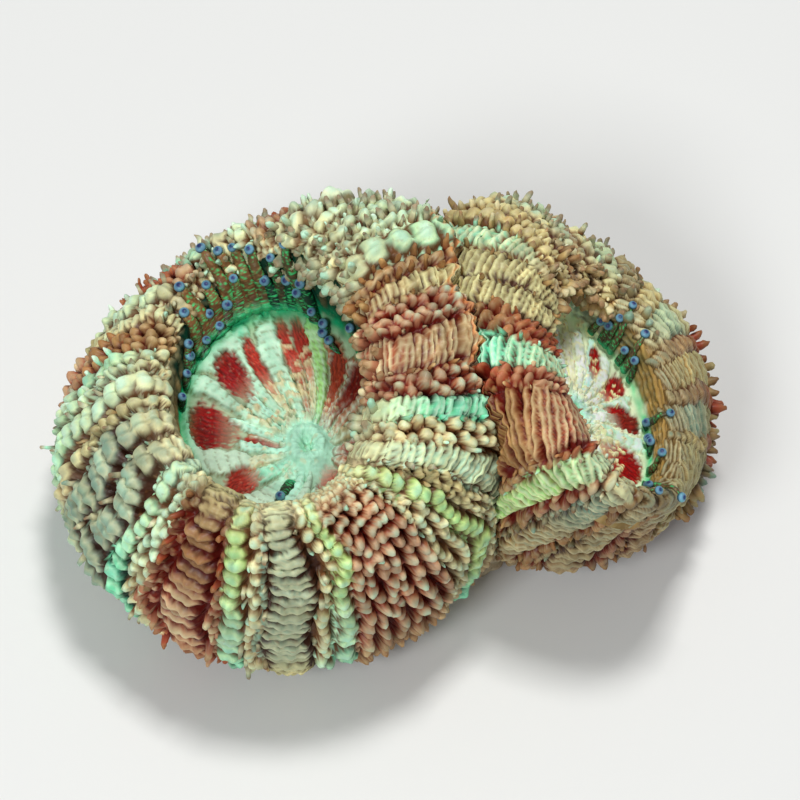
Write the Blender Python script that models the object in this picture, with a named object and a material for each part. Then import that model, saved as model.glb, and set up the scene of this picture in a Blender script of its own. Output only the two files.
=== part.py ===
"""A two-polyp acan coral colony, cut off flat where it grew on its rock.

Three solids: the stony foot, and the flesh of the large and of the small polyp, which meet at a seam.
Each polyp is a loft through oval sections, from its mouth over the swollen rim and down to the hanging
lip. The loft's own faces are raised into ridges of folds, beads and papillae, and into the lobes of the
oral disc, and its tentacles are fused to it.
"""

import math
import random

import bmesh
import bpy
from mathutils import Matrix, Vector

MM = 0.001

# Driving dimensions, in millimetres. The colony is about 46 long, 33 deep and 24 high.
SEAM_GAP = 0.3
SEAM_POINT = (6.1, 0.0)
SEAM_TURN = 12.0  # degrees, about Z: the far end of the seam leans towards the large polyp

FOOT_CENTRE = (-1.2, 1.8)
FOOT_RADII = (14.4, 9.0)
FOOT_TURN = 12.0
FOOT_HEIGHT = 4.8
FOOT_TOP_SHARE = 0.9  # the foot narrows upwards
FOOT_RIBS = 34
FOOT_RIB_DEPTH = 0.45
FOOT_CLEARANCE = 0.3

# Sections of a polyp, from the mouth outwards, over the crest and down to the underside:
# name, half width in X, half width in Y, centre X, centre Y, height, lean, share of reach, share of rise.
# Lean is in degrees and lowers the +X side. Reach and rise are the polyp's own unevenness, below.
LARGE_SECTIONS = [
    ("mouth", 0.3, 0.4, -5.0, -2.0, 11.9, -4, 0.0, 0.0),
    ("lips", 0.9, 1.2, -5.0, -2.0, 12.9, -4, 0.0, 0.0),
    ("inner disc", 2.0, 2.5, -5.1, -1.9, 12.4, -4, 0.0, 0.0),
    ("disc", 4.4, 5.6, -5.8, -1.3, 12.8, -6, 0.0, 0.0),
    ("disc edge", 6.4, 8.2, -6.6, -0.8, 13.9, -8, 0.0, 0.1),
    ("bowl wall", 6.9, 9.2, -7.0, -0.4, 15.6, -12, 0.0, 0.5),
    ("rim", 6.9, 9.9, -7.5, -0.2, 17.6, -14, 0.0, 0.9),
    ("crest", 8.9, 11.8, -7.6, -0.3, 18.7, -14, 0.4, 1.0),
    ("shoulder", 12.8, 13.8, -6.6, -0.3, 16.4, -12, 1.0, 1.0),
    ("flank", 14.8, 15.0, -6.6, 0.0, 11.2, -7, 1.0, 0.5),
    ("lower flank", 14.6, 14.8, -6.5, 0.0, 6.8, -3, 1.0, 0.1),
    ("lip", 13.2, 13.6, -6.4, 0.1, 3.5, 0, 1.0, 0.0),
    ("underside", 11.2, 11.6, -6.4, 0.2, 2.6, 0, 1.0, 0.0),
]
LARGE_REACH = [0.12, 0.21, 0.10, -0.01, 0.02, 0.02, 0.0, -0.02, -0.02, 0.0, -0.02, 0.02]
LARGE_RISE = [1.2, 2.0, 1.0, -0.5, -1.6, -1.4, -0.4, 0.0, 0.2, 0.0, 0.0, 0.4]
SMALL_SECTIONS = [
    ("mouth", 0.3, 0.4, 12.8, 0.2, 12.5, 34, 0.0, 0.0),
    ("lips", 0.8, 1.1, 12.8, 0.2, 13.4, 34, 0.0, 0.0),
    ("inner disc", 1.7, 2.2, 12.8, 0.2, 13.0, 34, 0.0, 0.0),
    ("disc", 3.4, 4.9, 13.0, 0.2, 13.1, 34, 0.0, 0.0),
    ("disc edge", 4.8, 7.3, 13.4, 0.2, 13.7, 35, 0.0, 0.1),
    ("bowl wall", 5.1, 8.0, 14.1, 0.2, 14.8, 36, 0.0, 0.5),
    ("rim", 4.9, 8.3, 14.9, 0.3, 15.9, 36, 0.0, 0.9),
    ("crest", 7.0, 10.2, 14.7, 0.9, 16.3, 35, 0.4, 1.0),
    ("shoulder", 9.4, 11.2, 13.4, 2.2, 14.0, 29, 1.0, 1.0),
    ("flank", 9.8, 10.8, 12.3, 3.1, 9.6, 14, 1.0, 0.5),
    ("lower flank", 9.3, 10.3, 12.0, 3.2, 6.4, 5, 1.0, 0.1),
    ("lip", 8.2, 9.2, 11.8, 3.3, 3.7, 0, 1.0, 0.0),
    ("underside", 6.6, 7.6, 11.8, 3.4, 2.8, 0, 1.0, 0.0),
]
SMALL_REACH = [0.0, 0.09, 0.12, 0.11, 0.28, 0.27, 0.18, 0.12, 0.03, -0.03, -0.04, -0.04]
SMALL_RISE = [-0.5, 0.3, 0.2, 0.0, 0.8, 1.2, 0.8, 0.6, 0.2, 0.0, -0.4, -0.8]
DISC_EDGE, RIM, LIP = 4, 6, 11

# Ridges round a polyp, anticlockwise: share of the way round, and how each is built up.
LARGE_FIRST_RIDGE = -34
LARGE_RIDGES = [
    (11, "folds"), (13, "beads"), (14, "folds"), (8, "beads"), (9, "folds"), (9, "beads"), (11, "folds"),
    (8, "points"), (9, "points"), (9, "folds"), (9, "beads"), (9, "folds"), (9, "points"), (9, "beads"),
    (9, "folds"), (8, "beads"), (9, "folds"), (8, "points"), (10, "folds"), (12, "beads"), (9, "folds"),
    (10, "beads"), (9, "folds"), (8, "beads"), (16, "folds"), (8, "beads"), (16, "folds"), (8, "beads"),
    (15, "folds"), (9, "beads"), (13, "folds"), (8, "beads"), (10, "folds"), (8, "beads"), (8, "folds"),
]
SMALL_FIRST_RIDGE = 88
SMALL_RIDGES = [
    (14, "points"), (12, "beads"), (12, "points"), (13, "folds"), (14, "folds"), (12, "beads"),
    (12, "folds"), (11, "beads"), (16, "folds"), (13, "beads"), (20, "folds"), (16, "folds"),
    (12, "beads"), (16, "folds"), (12, "beads"), (14, "folds"), (13, "points"), (13, "folds"),
    (13, "beads"), (13, "points"), (14, "points"), (13, "folds"), (13, "beads"), (14, "points"),
    (13, "folds"), (12, "beads"), (14, "points"),
]

# Relief, in millimetres above the smooth flesh, by how a ridge is built up.
RELIEF = {
    "folds": {"crest": 1.2, "dip": 0.6},
    "beads": {"crest": 1.1, "dip": 0.2},
    "points": {"crest": 1.4, "dip": 0.3},
}
CREASE = -0.25
FOLD_SPACING = 1.7
LOBE_HEIGHT = 0.55

TENTACLE_LENGTH = 2.8
TENTACLE_ROOT = 0.6
TENTACLE_RADIUS = 0.55
TENTACLE_SIDES = 5


def clear_scene():
    for obj in list(bpy.data.objects):
        bpy.data.objects.remove(obj, do_unlink=True)


def material(name, colour, roughness):
    made = bpy.data.materials.new(name)
    made.use_nodes = True
    shader = made.node_tree.nodes["Principled BSDF"]
    shader.inputs["Base Color"].default_value = (*colour, 1.0)
    shader.inputs["Roughness"].default_value = roughness
    shader.inputs["Metallic"].default_value = 0.0
    return made


def smooth_value(a, b, c, d, u):
    """Catmull-Rom: from b to c as u goes from 0 to 1."""
    return 0.5 * (
        2 * b + (c - a) * u + (2 * a - 5 * b + 4 * c - d) * u**2 + (3 * b - a - 3 * c + d) * u**3
    )


def section_at(sections, place):
    """The section at a fractional place along the list."""
    last = len(sections) - 1
    place = min(max(place, 0.0), last)
    index = min(int(place), last - 1)
    near = [sections[min(max(index + k, 0), last)][1:] for k in (-1, 0, 1, 2)]
    return [smooth_value(*values, place - index) for values in zip(*near)]


def value_around(table, angle):
    """A value at an angle in degrees, from a table that goes evenly round the polyp."""
    place = angle % 360 / 360 * len(table)
    index = int(place)
    near = [table[(index + k) % len(table)] for k in (-1, 0, 1, 2)]
    return smooth_value(*near, place - index)


def flesh_point(polyp, place, angle):
    """A point of the smooth flesh. Angle is in degrees, anticlockwise from the polyp's own X."""
    half_x, half_y, x, y, z, lean, reach_share, rise_share = section_at(polyp["sections"], place)
    reach = 1 + reach_share * value_around(polyp["reach"], angle + polyp["turn"])
    across = Vector(
        (
            half_x * reach * math.cos(math.radians(angle)),
            half_y * reach * math.sin(math.radians(angle)),
            rise_share * value_around(polyp["rise"], angle + polyp["turn"]),
        )
    )
    turned = Matrix.Rotation(math.radians(polyp["turn"]), 3, "Z")
    turned = turned @ Matrix.Rotation(math.radians(lean), 3, "Y")
    return MM * (turned @ across + Vector((x, y, z)))


def flesh_normal(polyp, place, angle):
    down = flesh_point(polyp, place + 0.04, angle) - flesh_point(polyp, place - 0.04, angle)
    along = flesh_point(polyp, place, angle + 1) - flesh_point(polyp, place, angle - 1)
    return down.cross(along).normalized()


def ridge_columns(ridges, first, flat_from):
    """Angles of the loft's points round a polyp: each ridge's crease, then its top.

    A ridge wider than flat_from, in degrees, has a flat top two points across.
    """
    columns = []
    start = first
    whole = sum(share for share, _ in ridges)
    for index, (share, build) in enumerate(ridges):
        width = 360 * share / whole
        columns.append((start, "crease", index))
        tops = (0.28, 0.72) if width > flat_from else (0.5,)
        columns += [(start + width * top, build, index) for top in tops]
        start += width
    return columns


def mantle_rows(polyp, angle, start, end):
    """Places down the mantle, half a fold apart."""
    rows = [start]
    travelled = 0.0
    place = start
    here = flesh_point(polyp, place, angle)
    while place < end:
        place += 0.01
        there = flesh_point(polyp, place, angle)
        travelled += (there - here).length
        here = there
        if travelled >= 0.5 * FOLD_SPACING * MM:
            rows.append(place)
            travelled = 0.0
    return rows


def zip_rings(mesh, inner, outer):
    """Faces between two closed rings of (angle, height, vertex), which may differ in number.

    Where both rings could step next, the split runs through the higher point, so that bumps stay sharp.
    """
    i = j = 0
    while i < len(inner) or j < len(outer):
        here_in, here_out = inner[i % len(inner)], outer[j % len(outer)]
        next_in, next_out = inner[(i + 1) % len(inner)], outer[(j + 1) % len(outer)]
        angle_in = next_in[0] + (360 if i + 1 >= len(inner) else 0)
        angle_out = next_out[0] + (360 if j + 1 >= len(outer) else 0)
        if i == len(inner):
            step_out = True
        elif j == len(outer):
            step_out = False
        elif abs(angle_in - angle_out) < 0.01 and len(inner) == len(outer):
            if i < j:
                step_out = False
            elif j < i:
                step_out = True
            else:
                step_out = max(here_in[1], next_out[1]) > max(here_out[1], next_in[1])
        else:
            step_out = angle_out < angle_in
        if step_out:
            mesh.faces.new((here_in[2], here_out[2], next_out[2]))
            j += 1
        else:
            mesh.faces.new((here_in[2], here_out[2], next_in[2]))
            i += 1


def add_point(mesh, polyp, place, angle, height):
    point = flesh_point(polyp, place, angle)
    if height:
        point += flesh_normal(polyp, place, angle) * height * MM
    return (angle, height, mesh.verts.new(point))


def mantle_ring(mesh, polyp, place, row, chance):
    """One ring of the mantle: creases low, and on each ridge a crest or a dip by turns."""
    ring = []
    swell = min(1.0, 0.3 + 0.5 * (place - RIM + 0.2)) * min(1.0, 0.3 + 1.2 * (LIP + 0.6 - place))
    for angle, build, index in polyp["columns"]:
        if build == "crease":
            height = CREASE
        else:
            level = "crest" if (row + index) % 2 else "dip"
            height = RELIEF[build][level] * chance.uniform(0.85, 1.15)
        ring.append(add_point(mesh, polyp, place, angle, height * max(swell, 0.1)))
    return ring


def disc_ring(mesh, polyp, place, count, lobed):
    """One ring of the bowl and the oral disc, whose lobes are raised on every second point."""
    first = polyp["columns"][0][0]
    ring = []
    for k in range(count):
        height = LOBE_HEIGHT if lobed and k % 2 else 0.0
        ring.append(add_point(mesh, polyp, place, first + k * 360 / count, height))
    return ring


def add_flesh_body(mesh, polyp, chance):
    """The whole loft, mouth to underside."""
    lobes = polyp["lobes"]
    rings = [
        disc_ring(mesh, polyp, 0.0, lobes // 2, False),
        disc_ring(mesh, polyp, 0.5, lobes // 2, False),
        disc_ring(mesh, polyp, 1.0, lobes // 2, False),
        disc_ring(mesh, polyp, 1.7, lobes, False),
        disc_ring(mesh, polyp, 2.3, 2 * lobes, True),
        disc_ring(mesh, polyp, 3.0, 2 * lobes, True),
        disc_ring(mesh, polyp, 3.6, 2 * lobes, True),
        disc_ring(mesh, polyp, DISC_EDGE, 2 * lobes, False),
        disc_ring(mesh, polyp, DISC_EDGE + 0.6, 2 * lobes, False),
    ]
    for row, place in enumerate(mantle_rows(polyp, polyp["measured_at"], RIM - 0.3, LIP + 0.3)):
        rings.append(mantle_ring(mesh, polyp, place, row, chance))
    rings.append(disc_ring(mesh, polyp, LIP + 1.0, 2 * lobes, False))
    for inner, outer in zip(rings, rings[1:]):
        zip_rings(mesh, inner, outer)
    mesh.faces.new([vertex for _, _, vertex in rings[0]])
    mesh.faces.new([vertex for _, _, vertex in reversed(rings[-1])])
    bmesh.ops.triangulate(mesh, faces=[face for face in mesh.faces if len(face.verts) > 3])


def add_tentacle(mesh, root, lift, length):
    """A short blunt tentacle whose root is sunk in the flesh."""
    aim = lift.to_track_quat("Z", "Y").to_matrix().to_4x4()
    base = root - lift * TENTACLE_ROOT * MM
    rings = []
    for share, width in ((0.0, 1.05), (0.8, 1.0), (1.0, 0.55)):
        centre = base + lift * (length + TENTACLE_ROOT) * MM * share
        made = bmesh.ops.create_circle(
            mesh,
            segments=TENTACLE_SIDES,
            radius=TENTACLE_RADIUS * width * MM,
            matrix=Matrix.Translation(centre) @ aim,
        )
        rings.append(made["verts"])
    for lower, upper in zip(rings, rings[1:]):
        for k in range(TENTACLE_SIDES):
            after = (k + 1) % TENTACLE_SIDES
            mesh.faces.new((lower[k], lower[after], upper[after], upper[k]))
    mesh.faces.new(reversed(rings[0]))
    mesh.faces.new(rings[-1])


def make_tentacles(name, polyp, tools, chance):
    """The tentacles round the edge of the oral disc, laid back along the bowl's wall, as one tool."""
    mesh = bpy.data.meshes.new(name)
    work = bmesh.new()
    count = polyp["tentacles"]
    for index in range(count):
        angle = (index + chance.uniform(-0.15, 0.15)) * 360 / count
        place = DISC_EDGE + (0.1 if index % 2 else 0.5)
        root = flesh_point(polyp, place, angle)
        up_wall = (flesh_point(polyp, RIM, angle) - root).normalized()
        lift = (up_wall + flesh_normal(polyp, place, angle) * 0.45).normalized()
        add_tentacle(work, root, lift, TENTACLE_LENGTH * chance.uniform(0.85, 1.1))
    bmesh.ops.recalc_face_normals(work, faces=work.faces)
    return finish_tool(name, mesh, work, tools)


def finish_tool(name, mesh, work, tools):
    work.to_mesh(mesh)
    work.free()
    tool = bpy.data.objects.new(name, mesh)
    tool.hide_render = True
    tool.display_type = "WIRE"
    tools.objects.link(tool)
    return tool


def make_seam_tool(name, side, tools):
    """A block whose face is the seam: it takes away what lies beyond it, towards +X for side 1."""
    block = 0.08
    work = bmesh.new()
    seam = Matrix.Translation((SEAM_POINT[0] * MM, SEAM_POINT[1] * MM, 0))
    turned = seam @ Matrix.Rotation(math.radians(SEAM_TURN), 4, "Z")
    aside = Matrix.Translation((side * (block - SEAM_GAP * MM) / 2, 0, 0))
    bmesh.ops.create_cube(work, size=block, matrix=turned @ aside)
    return finish_tool(name, bpy.data.meshes.new(name), work, tools)


def fill_foot(work, grow, bottom, top):
    """The foot's oval stub, ribbed round its side; or, grown, the room that it needs."""
    made = bmesh.ops.create_cone(
        work,
        cap_ends=True,
        segments=2 * FOOT_RIBS,
        radius1=1.0,
        radius2=FOOT_TOP_SHARE,
        depth=1.0,
    )
    for vert in made["verts"]:
        rib = round(math.atan2(vert.co.y, vert.co.x) / math.pi * FOOT_RIBS) % 2
        change = grow - (FOOT_RIB_DEPTH if rib and not grow else 0.0)
        share = math.hypot(vert.co.x, vert.co.y)
        vert.co.x *= (FOOT_RADII[0] + change / share) * MM
        vert.co.y *= (FOOT_RADII[1] + change / share) * MM
        vert.co.z = (bottom if vert.co.z < 0 else top) * MM
    place = Matrix.Translation((FOOT_CENTRE[0] * MM, FOOT_CENTRE[1] * MM, 0))
    bmesh.ops.transform(
        work, matrix=place @ Matrix.Rotation(math.radians(FOOT_TURN), 4, "Z"), verts=work.verts
    )


def make_foot(parts, finish):
    mesh = bpy.data.meshes.new("skeleton_foot")
    work = bmesh.new()
    fill_foot(work, 0.0, 0.0, FOOT_HEIGHT)
    work.to_mesh(mesh)
    work.free()
    foot = bpy.data.objects.new("skeleton_foot", mesh)
    mesh.materials.append(finish)
    parts.objects.link(foot)


def make_foot_tool(tools):
    name = "foot_clearance"
    work = bmesh.new()
    fill_foot(work, FOOT_CLEARANCE, -5.0, FOOT_HEIGHT + FOOT_CLEARANCE)
    return finish_tool(name, bpy.data.meshes.new(name), work, tools)


def make_polyp(name, polyp, parts, tools, foot_tool, finish):
    chance = random.Random(polyp["seed"])
    polyp["columns"] = ridge_columns(polyp["ridges"], polyp["first_ridge"], polyp["flat_from"])
    mesh = bpy.data.meshes.new(name)
    work = bmesh.new()
    add_flesh_body(work, polyp, chance)
    work.to_mesh(mesh)
    work.free()
    made = bpy.data.objects.new(name, mesh)
    mesh.materials.append(finish)
    parts.objects.link(made)

    steps = [
        (make_tentacles(name + "_tentacles", polyp, tools, chance), "UNION"),
        (make_seam_tool(name + "_seam", polyp["seam_side"], tools), "DIFFERENCE"),
        (foot_tool, "DIFFERENCE"),
    ]
    for tool, operation in steps:
        step = made.modifiers.new(tool.name, "BOOLEAN")
        step.operation = operation
        step.object = tool


def centre_on_origin(parts, tools):
    """Moves everything so that the colony's box stands centred on the origin."""
    graph = bpy.context.evaluated_depsgraph_get()
    corners = []
    for obj in parts.objects:
        mesh = obj.evaluated_get(graph).to_mesh()
        corners += [vert.co.copy() for vert in mesh.vertices]
    shift = Vector([-0.5 * (min(c[k] for c in corners) + max(c[k] for c in corners)) for k in range(2)])
    for obj in [*parts.objects, *tools.objects]:
        obj.location = (*shift, 0)
    print("moved by, in mm:", [round(value / MM, 3) for value in shift])


def main():
    clear_scene()
    parts = bpy.data.collections.new("acan_coral")
    tools = bpy.data.collections.new("cutters")
    for collection in (parts, tools):
        bpy.context.scene.collection.children.link(collection)

    flesh = material("coral flesh", (0.52, 0.56, 0.40), 0.45)
    stone = material("coral skeleton", (0.74, 0.70, 0.62), 0.9)
    large = {
        "sections": LARGE_SECTIONS,
        "reach": LARGE_REACH,
        "rise": LARGE_RISE,
        "ridges": LARGE_RIDGES,
        "first_ridge": LARGE_FIRST_RIDGE,
        "flat_from": 10.5,
        "measured_at": 180,
        "turn": SEAM_TURN,
        "seam_side": 1,
        "lobes": 22,
        "tentacles": 26,
        "seed": 4,
    }
    small = {
        "sections": SMALL_SECTIONS,
        "reach": SMALL_REACH,
        "rise": SMALL_RISE,
        "ridges": SMALL_RIDGES,
        "first_ridge": SMALL_FIRST_RIDGE,
        "flat_from": 14.5,
        "measured_at": 270,
        "turn": SEAM_TURN,
        "seam_side": -1,
        "lobes": 16,
        "tentacles": 18,
        "seed": 9,
    }
    make_foot(parts, stone)
    foot_tool = make_foot_tool(tools)
    make_polyp("large_polyp", large, parts, tools, foot_tool, flesh)
    make_polyp("small_polyp", small, parts, tools, foot_tool, flesh)
    bpy.context.view_layer.update()
    centre_on_origin(parts, tools)


main()
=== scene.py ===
import math
import random
import bpy
import numpy as np
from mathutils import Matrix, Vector


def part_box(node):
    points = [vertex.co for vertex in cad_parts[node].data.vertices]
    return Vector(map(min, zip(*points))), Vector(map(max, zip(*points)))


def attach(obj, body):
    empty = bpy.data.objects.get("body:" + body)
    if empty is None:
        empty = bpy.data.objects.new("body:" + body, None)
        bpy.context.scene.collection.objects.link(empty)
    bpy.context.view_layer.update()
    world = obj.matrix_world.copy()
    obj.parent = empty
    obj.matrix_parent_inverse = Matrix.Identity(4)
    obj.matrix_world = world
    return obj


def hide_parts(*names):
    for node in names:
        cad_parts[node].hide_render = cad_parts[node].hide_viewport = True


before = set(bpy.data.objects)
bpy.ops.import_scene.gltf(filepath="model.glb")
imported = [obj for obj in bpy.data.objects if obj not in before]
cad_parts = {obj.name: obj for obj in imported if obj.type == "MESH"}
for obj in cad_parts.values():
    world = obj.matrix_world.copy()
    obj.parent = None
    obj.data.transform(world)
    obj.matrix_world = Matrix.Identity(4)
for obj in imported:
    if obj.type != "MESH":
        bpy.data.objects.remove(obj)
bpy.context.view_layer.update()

mm = 0.001
fullTurn = 6.283

# the foot is the fixed point: the flesh is laid out from it
footLow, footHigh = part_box("skeleton_foot")
footCentre = np.array([(footLow[0] + footHigh[0]) / 2, (footLow[1] + footHigh[1]) / 2, footLow[2]])
centreShift = np.array([footCentre[0] + 1.2 * mm, footCentre[1] - 1.8 * mm, 0.0])

# colours as the eye sees them, red green blue from 0 to 255
paints = {
    "mint": (147, 234, 194),
    "paleMint": (185, 233, 201),
    "brightMint": (100, 234, 178),
    "greenMint": (69, 223, 133),
    "yellowMint": (168, 232, 127),
    "whiteMint": (220, 248, 220),
    "greyTeal": (145, 180, 156),
    "cream": (226, 214, 167),
    "paleCream": (248, 247, 183),
    "greyTan": (176, 161, 112),
    "tan": (191, 151, 95),
    "mustard": (191, 156, 89),
    "ochre": (151, 119, 63),
    "brown": (147, 97, 56),
    "darkBrown": (88, 45, 24),
    "pinkBrown": (189, 110, 75),
    "redBrown": (165, 60, 34),
    "darkRed": (124, 25, 13),
    "red": (153, 0, 0),
    "maroon": (117, 58, 50),
    "orange": (235, 112, 40),
    "paleOrange": (248, 163, 93),
    "tealGreen": (25, 190, 126),
    "darkGreen": (7, 63, 45),
    "black": (9, 20, 20),
    "iceMint": (184, 245, 219),
    "deepPink": (186, 55, 41),
    "slate": (46, 75, 90),
    "paleBlue": (110, 160, 186),
    "violet": (39, 51, 103),
    "bone": (239, 224, 189),
    "stain": (158, 129, 91),
}


def linearOf(colour):
    value = np.array(colour) / 255
    return np.where(value <= 0.04045, value / 12.92, ((value + 0.055) / 1.055) ** 2.4)


paint = {name: linearOf(colour) for name, colour in paints.items()}

# how a stretch of flesh is coloured: its swellings' bodies, their edges, the creases, the fingers' flanks
# and the tops of both. The creases' dark tones are partly the flesh's own dark red and brown and partly
# painted shade; the pale edges and tops are partly their own tone and partly painted highlight
finishes = {
    "mint": ("mint", "paleCream", "brown", "mint", "whiteMint"),
    "paleMint": ("paleMint", "paleCream", "brown", "cream", "whiteMint"),
    "brightMint": ("brightMint", "whiteMint", "darkGreen", "brightMint", "mint"),
    "yellowMint": ("yellowMint", "paleCream", "brown", "yellowMint", "paleMint"),
    "whiteMint": ("whiteMint", "paleCream", "greyTan", "mint", "whiteMint"),
    "greyTeal": ("greyTeal", "cream", "darkBrown", "cream", "greyTeal"),
    "greyTan": ("greyTan", "paleCream", "darkBrown", "tan", "greyTan"),
    "cream": ("cream", "paleCream", "brown", "cream", "paleMint"),
    "tan": ("tan", "cream", "darkBrown", "tan", "cream"),
    "mustard": ("mustard", "paleCream", "brown", "mustard", "cream"),
    "brown": ("brown", "cream", "darkRed", "brown", "tan"),
    "redBrown": ("redBrown", "tan", "darkRed", "redBrown", "pinkBrown"),
    "maroon": ("maroon", "tan", "darkRed", "redBrown", "brown"),
    "deepRed": ("redBrown", "cream", "darkRed", "redBrown", "cream"),
    "bark": ("brown", "tan", "darkRed", "redBrown", "tan"),
    "rust": ("pinkBrown", "cream", "darkRed", "redBrown", "paleMint"),
    "ochre": ("ochre", "cream", "darkBrown", "ochre", "greyTeal"),
    "orange": ("orange", "paleOrange", "darkRed", "orange", "paleOrange"),
}


def spline(before, low, high, after, share):
    # a smooth line between two values, led by the ones on either side
    return 0.5 * (2 * low + (high - before) * share + (2 * before - 5 * low + 4 * high - after) * share**2
                  + (3 * low - before - 3 * high + after) * share**3)


def throughValues(values, place):
    # a smooth line through values at 0, 1, 2 and so on
    values = np.asarray(values, float)
    last = len(values) - 1
    place = np.clip(place, 0, last)
    index = np.minimum(place.astype(int), last - 1)
    return spline(*(values[np.clip(index + k, 0, last)] for k in (-1, 0, 1, 2)), place - index)


def roundValues(table, angle):
    # a smooth line through values spread evenly round the polyp
    table = np.asarray(table, float)
    place = np.mod(angle, 360) / 360 * len(table)
    index = place.astype(int)
    return spline(*(table[(index + k) % len(table)] for k in (-1, 0, 1, 2)), place - index)


def smoothStep(low, high, value):
    share = np.clip((value - low) / (high - low), 0, 1)
    return share * share * (3 - 2 * share)


def bell(value, middle, width):
    return np.exp(-((value - middle) / width) ** 2)


def turnFrom(middle, angle):
    # degrees from the middle one, from -180 to 180
    return np.mod(angle - middle + 180, 360) - 180


def laidOver(under, over, share):
    # one tone laid over another, by a share at every point
    share = np.asarray(share)[..., None]
    return under * (1 - share) + over * share


def chanceOf(*keys):
    # a number from 0 to 1 that is always the same for the same keys
    total = sum(key * factor for key, factor in zip(keys, (12.9898, 78.233, 37.719, 4.581)))
    return np.mod(np.sin(total) * 43758.5453, 1)


def waves(points, size, seed=0.0):
    # a smooth unevenness, from -1 to 1, about size metres from crest to crest
    x, y, z = (points[..., k] / size * fullTurn for k in range(3))
    return (np.sin(x + 1.7 * np.sin(0.7 * y + seed)) + np.sin(y * 1.13 + 1.9 * np.sin(0.6 * z - seed) + 2)
            + np.sin(z * 0.93 + 1.8 * np.sin(0.8 * x + 2 * seed) + 4)) / 3


# places on a polyp go from 0 at the mouth over 4 at the disc's edge and 6 at the bowl's rim to 12 at the lip
# underneath; the swellings and the finishes end a little before that
rimPlace, lipPlace, spotEnd, finishEnd = 6.0, 12, 11.7, 11.2


def fleshAt(polyp, place, angle):
    # a point of the smooth flesh
    place, angle = np.broadcast_arrays(np.asarray(place, float), np.asarray(angle, float))
    values = [throughValues(column, place) for column in zip(*polyp["sections"])]
    halfX, halfY, x, y, z, lean, reachShare, riseShare = values
    reach = 1 + reachShare * roundValues(polyp["reach"], angle + polyp["turn"])
    rise = riseShare * roundValues(polyp["rise"], angle + polyp["turn"])
    across = halfX * reach * np.cos(np.radians(angle))
    deep = halfY * reach * np.sin(np.radians(angle))
    lean, turn = np.radians(lean), math.radians(polyp["turn"])
    level = np.cos(lean) * across + np.sin(lean) * rise
    up = np.cos(lean) * rise - np.sin(lean) * across
    point = np.stack([
        math.cos(turn) * level - math.sin(turn) * deep + x,
        math.sin(turn) * level + math.cos(turn) * deep + y,
        up + z,
    ], axis=-1)
    return point * mm + centreShift


def unit(vectors):
    return vectors / np.maximum(np.linalg.norm(vectors, axis=-1, keepdims=True), 1e-12)


def fleshFrame(polyp, place, angle):
    # outwards, towards the lip, round the polyp, and the length of one degree
    down = fleshAt(polyp, place + 0.04, angle) - fleshAt(polyp, place - 0.04, angle)
    side = fleshAt(polyp, place, angle + 1) - fleshAt(polyp, place, angle - 1)
    return unit(np.cross(down, side)), unit(down), unit(side), np.linalg.norm(side, axis=-1) / 2


def layOutLengths(polyp):
    # millimetres travelled down the mantle from the rim, for every angle and place
    places = np.linspace(5.4, lipPlace, 260)
    angles = np.arange(0, 361, 2.0)
    points = fleshAt(polyp, places[None, :], angles[:, None])
    steps = np.linalg.norm(np.diff(points, axis=1), axis=-1) / mm
    lengths = np.concatenate([np.zeros((len(angles), 1)), np.cumsum(steps, axis=1)], axis=1)
    polyp["lengthPlaces"], polyp["lengths"] = places, lengths


def travelled(polyp, place, angle):
    places, lengths = polyp["lengthPlaces"], polyp["lengths"]
    row = np.clip((place - places[0]) / (places[1] - places[0]), 0, len(places) - 1.001)
    column = np.mod(angle, 360) / 2
    i, j = row.astype(int), column.astype(int)
    u, v = row - i, column - j
    return (lengths[j, i] * (1 - u) * (1 - v) + lengths[j, i + 1] * u * (1 - v)
            + lengths[j + 1, i] * (1 - u) * v + lengths[j + 1, i + 1] * u * v)


# where the polyps meet
seam = {"x": 6.1, "y": 0.0, "turn": 12.0, "gap": 0.06, "soft": 0.22, "wave": 0.42, "nibble": 0.16}


def alongSeam(points):
    turn = math.radians(seam["turn"])
    x = (points[..., 0] - centreShift[0]) / mm - seam["x"]
    y = (points[..., 1] - centreShift[1]) / mm - seam["y"]
    return x * math.cos(turn) + y * math.sin(turn), y * math.cos(turn) - x * math.sin(turn)


def pastSeam(points, side):
    # millimetres past the seam, seen from the polyp on that side; negative is inside the polyp
    across, along = alongSeam(points)
    wave = seam["wave"] * (np.sin(along * 0.95 + 0.6) + 0.5 * np.sin(along * 2.3 + 2.0))
    nibble = np.sin(along * 5.1 + 1.0) + np.sin(along * 8.3 + points[..., 2] / mm * 0.9)
    wave = wave + seam["nibble"] * nibble
    return side * (across - wave)


def meetAtSeam(points, side):
    # what reaches past the seam is pressed back against the neighbour
    turn = math.radians(seam["turn"])
    past = pastSeam(points, side)
    soft = seam["soft"]
    pressed = -seam["gap"] / 2 - soft * np.logaddexp(0, -(past + seam["gap"] / 2) / soft)
    move = (pressed - past) * side * mm
    moved = points.copy()
    moved[..., 0] += move * math.cos(turn)
    moved[..., 1] += move * math.sin(turn)
    return moved


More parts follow.
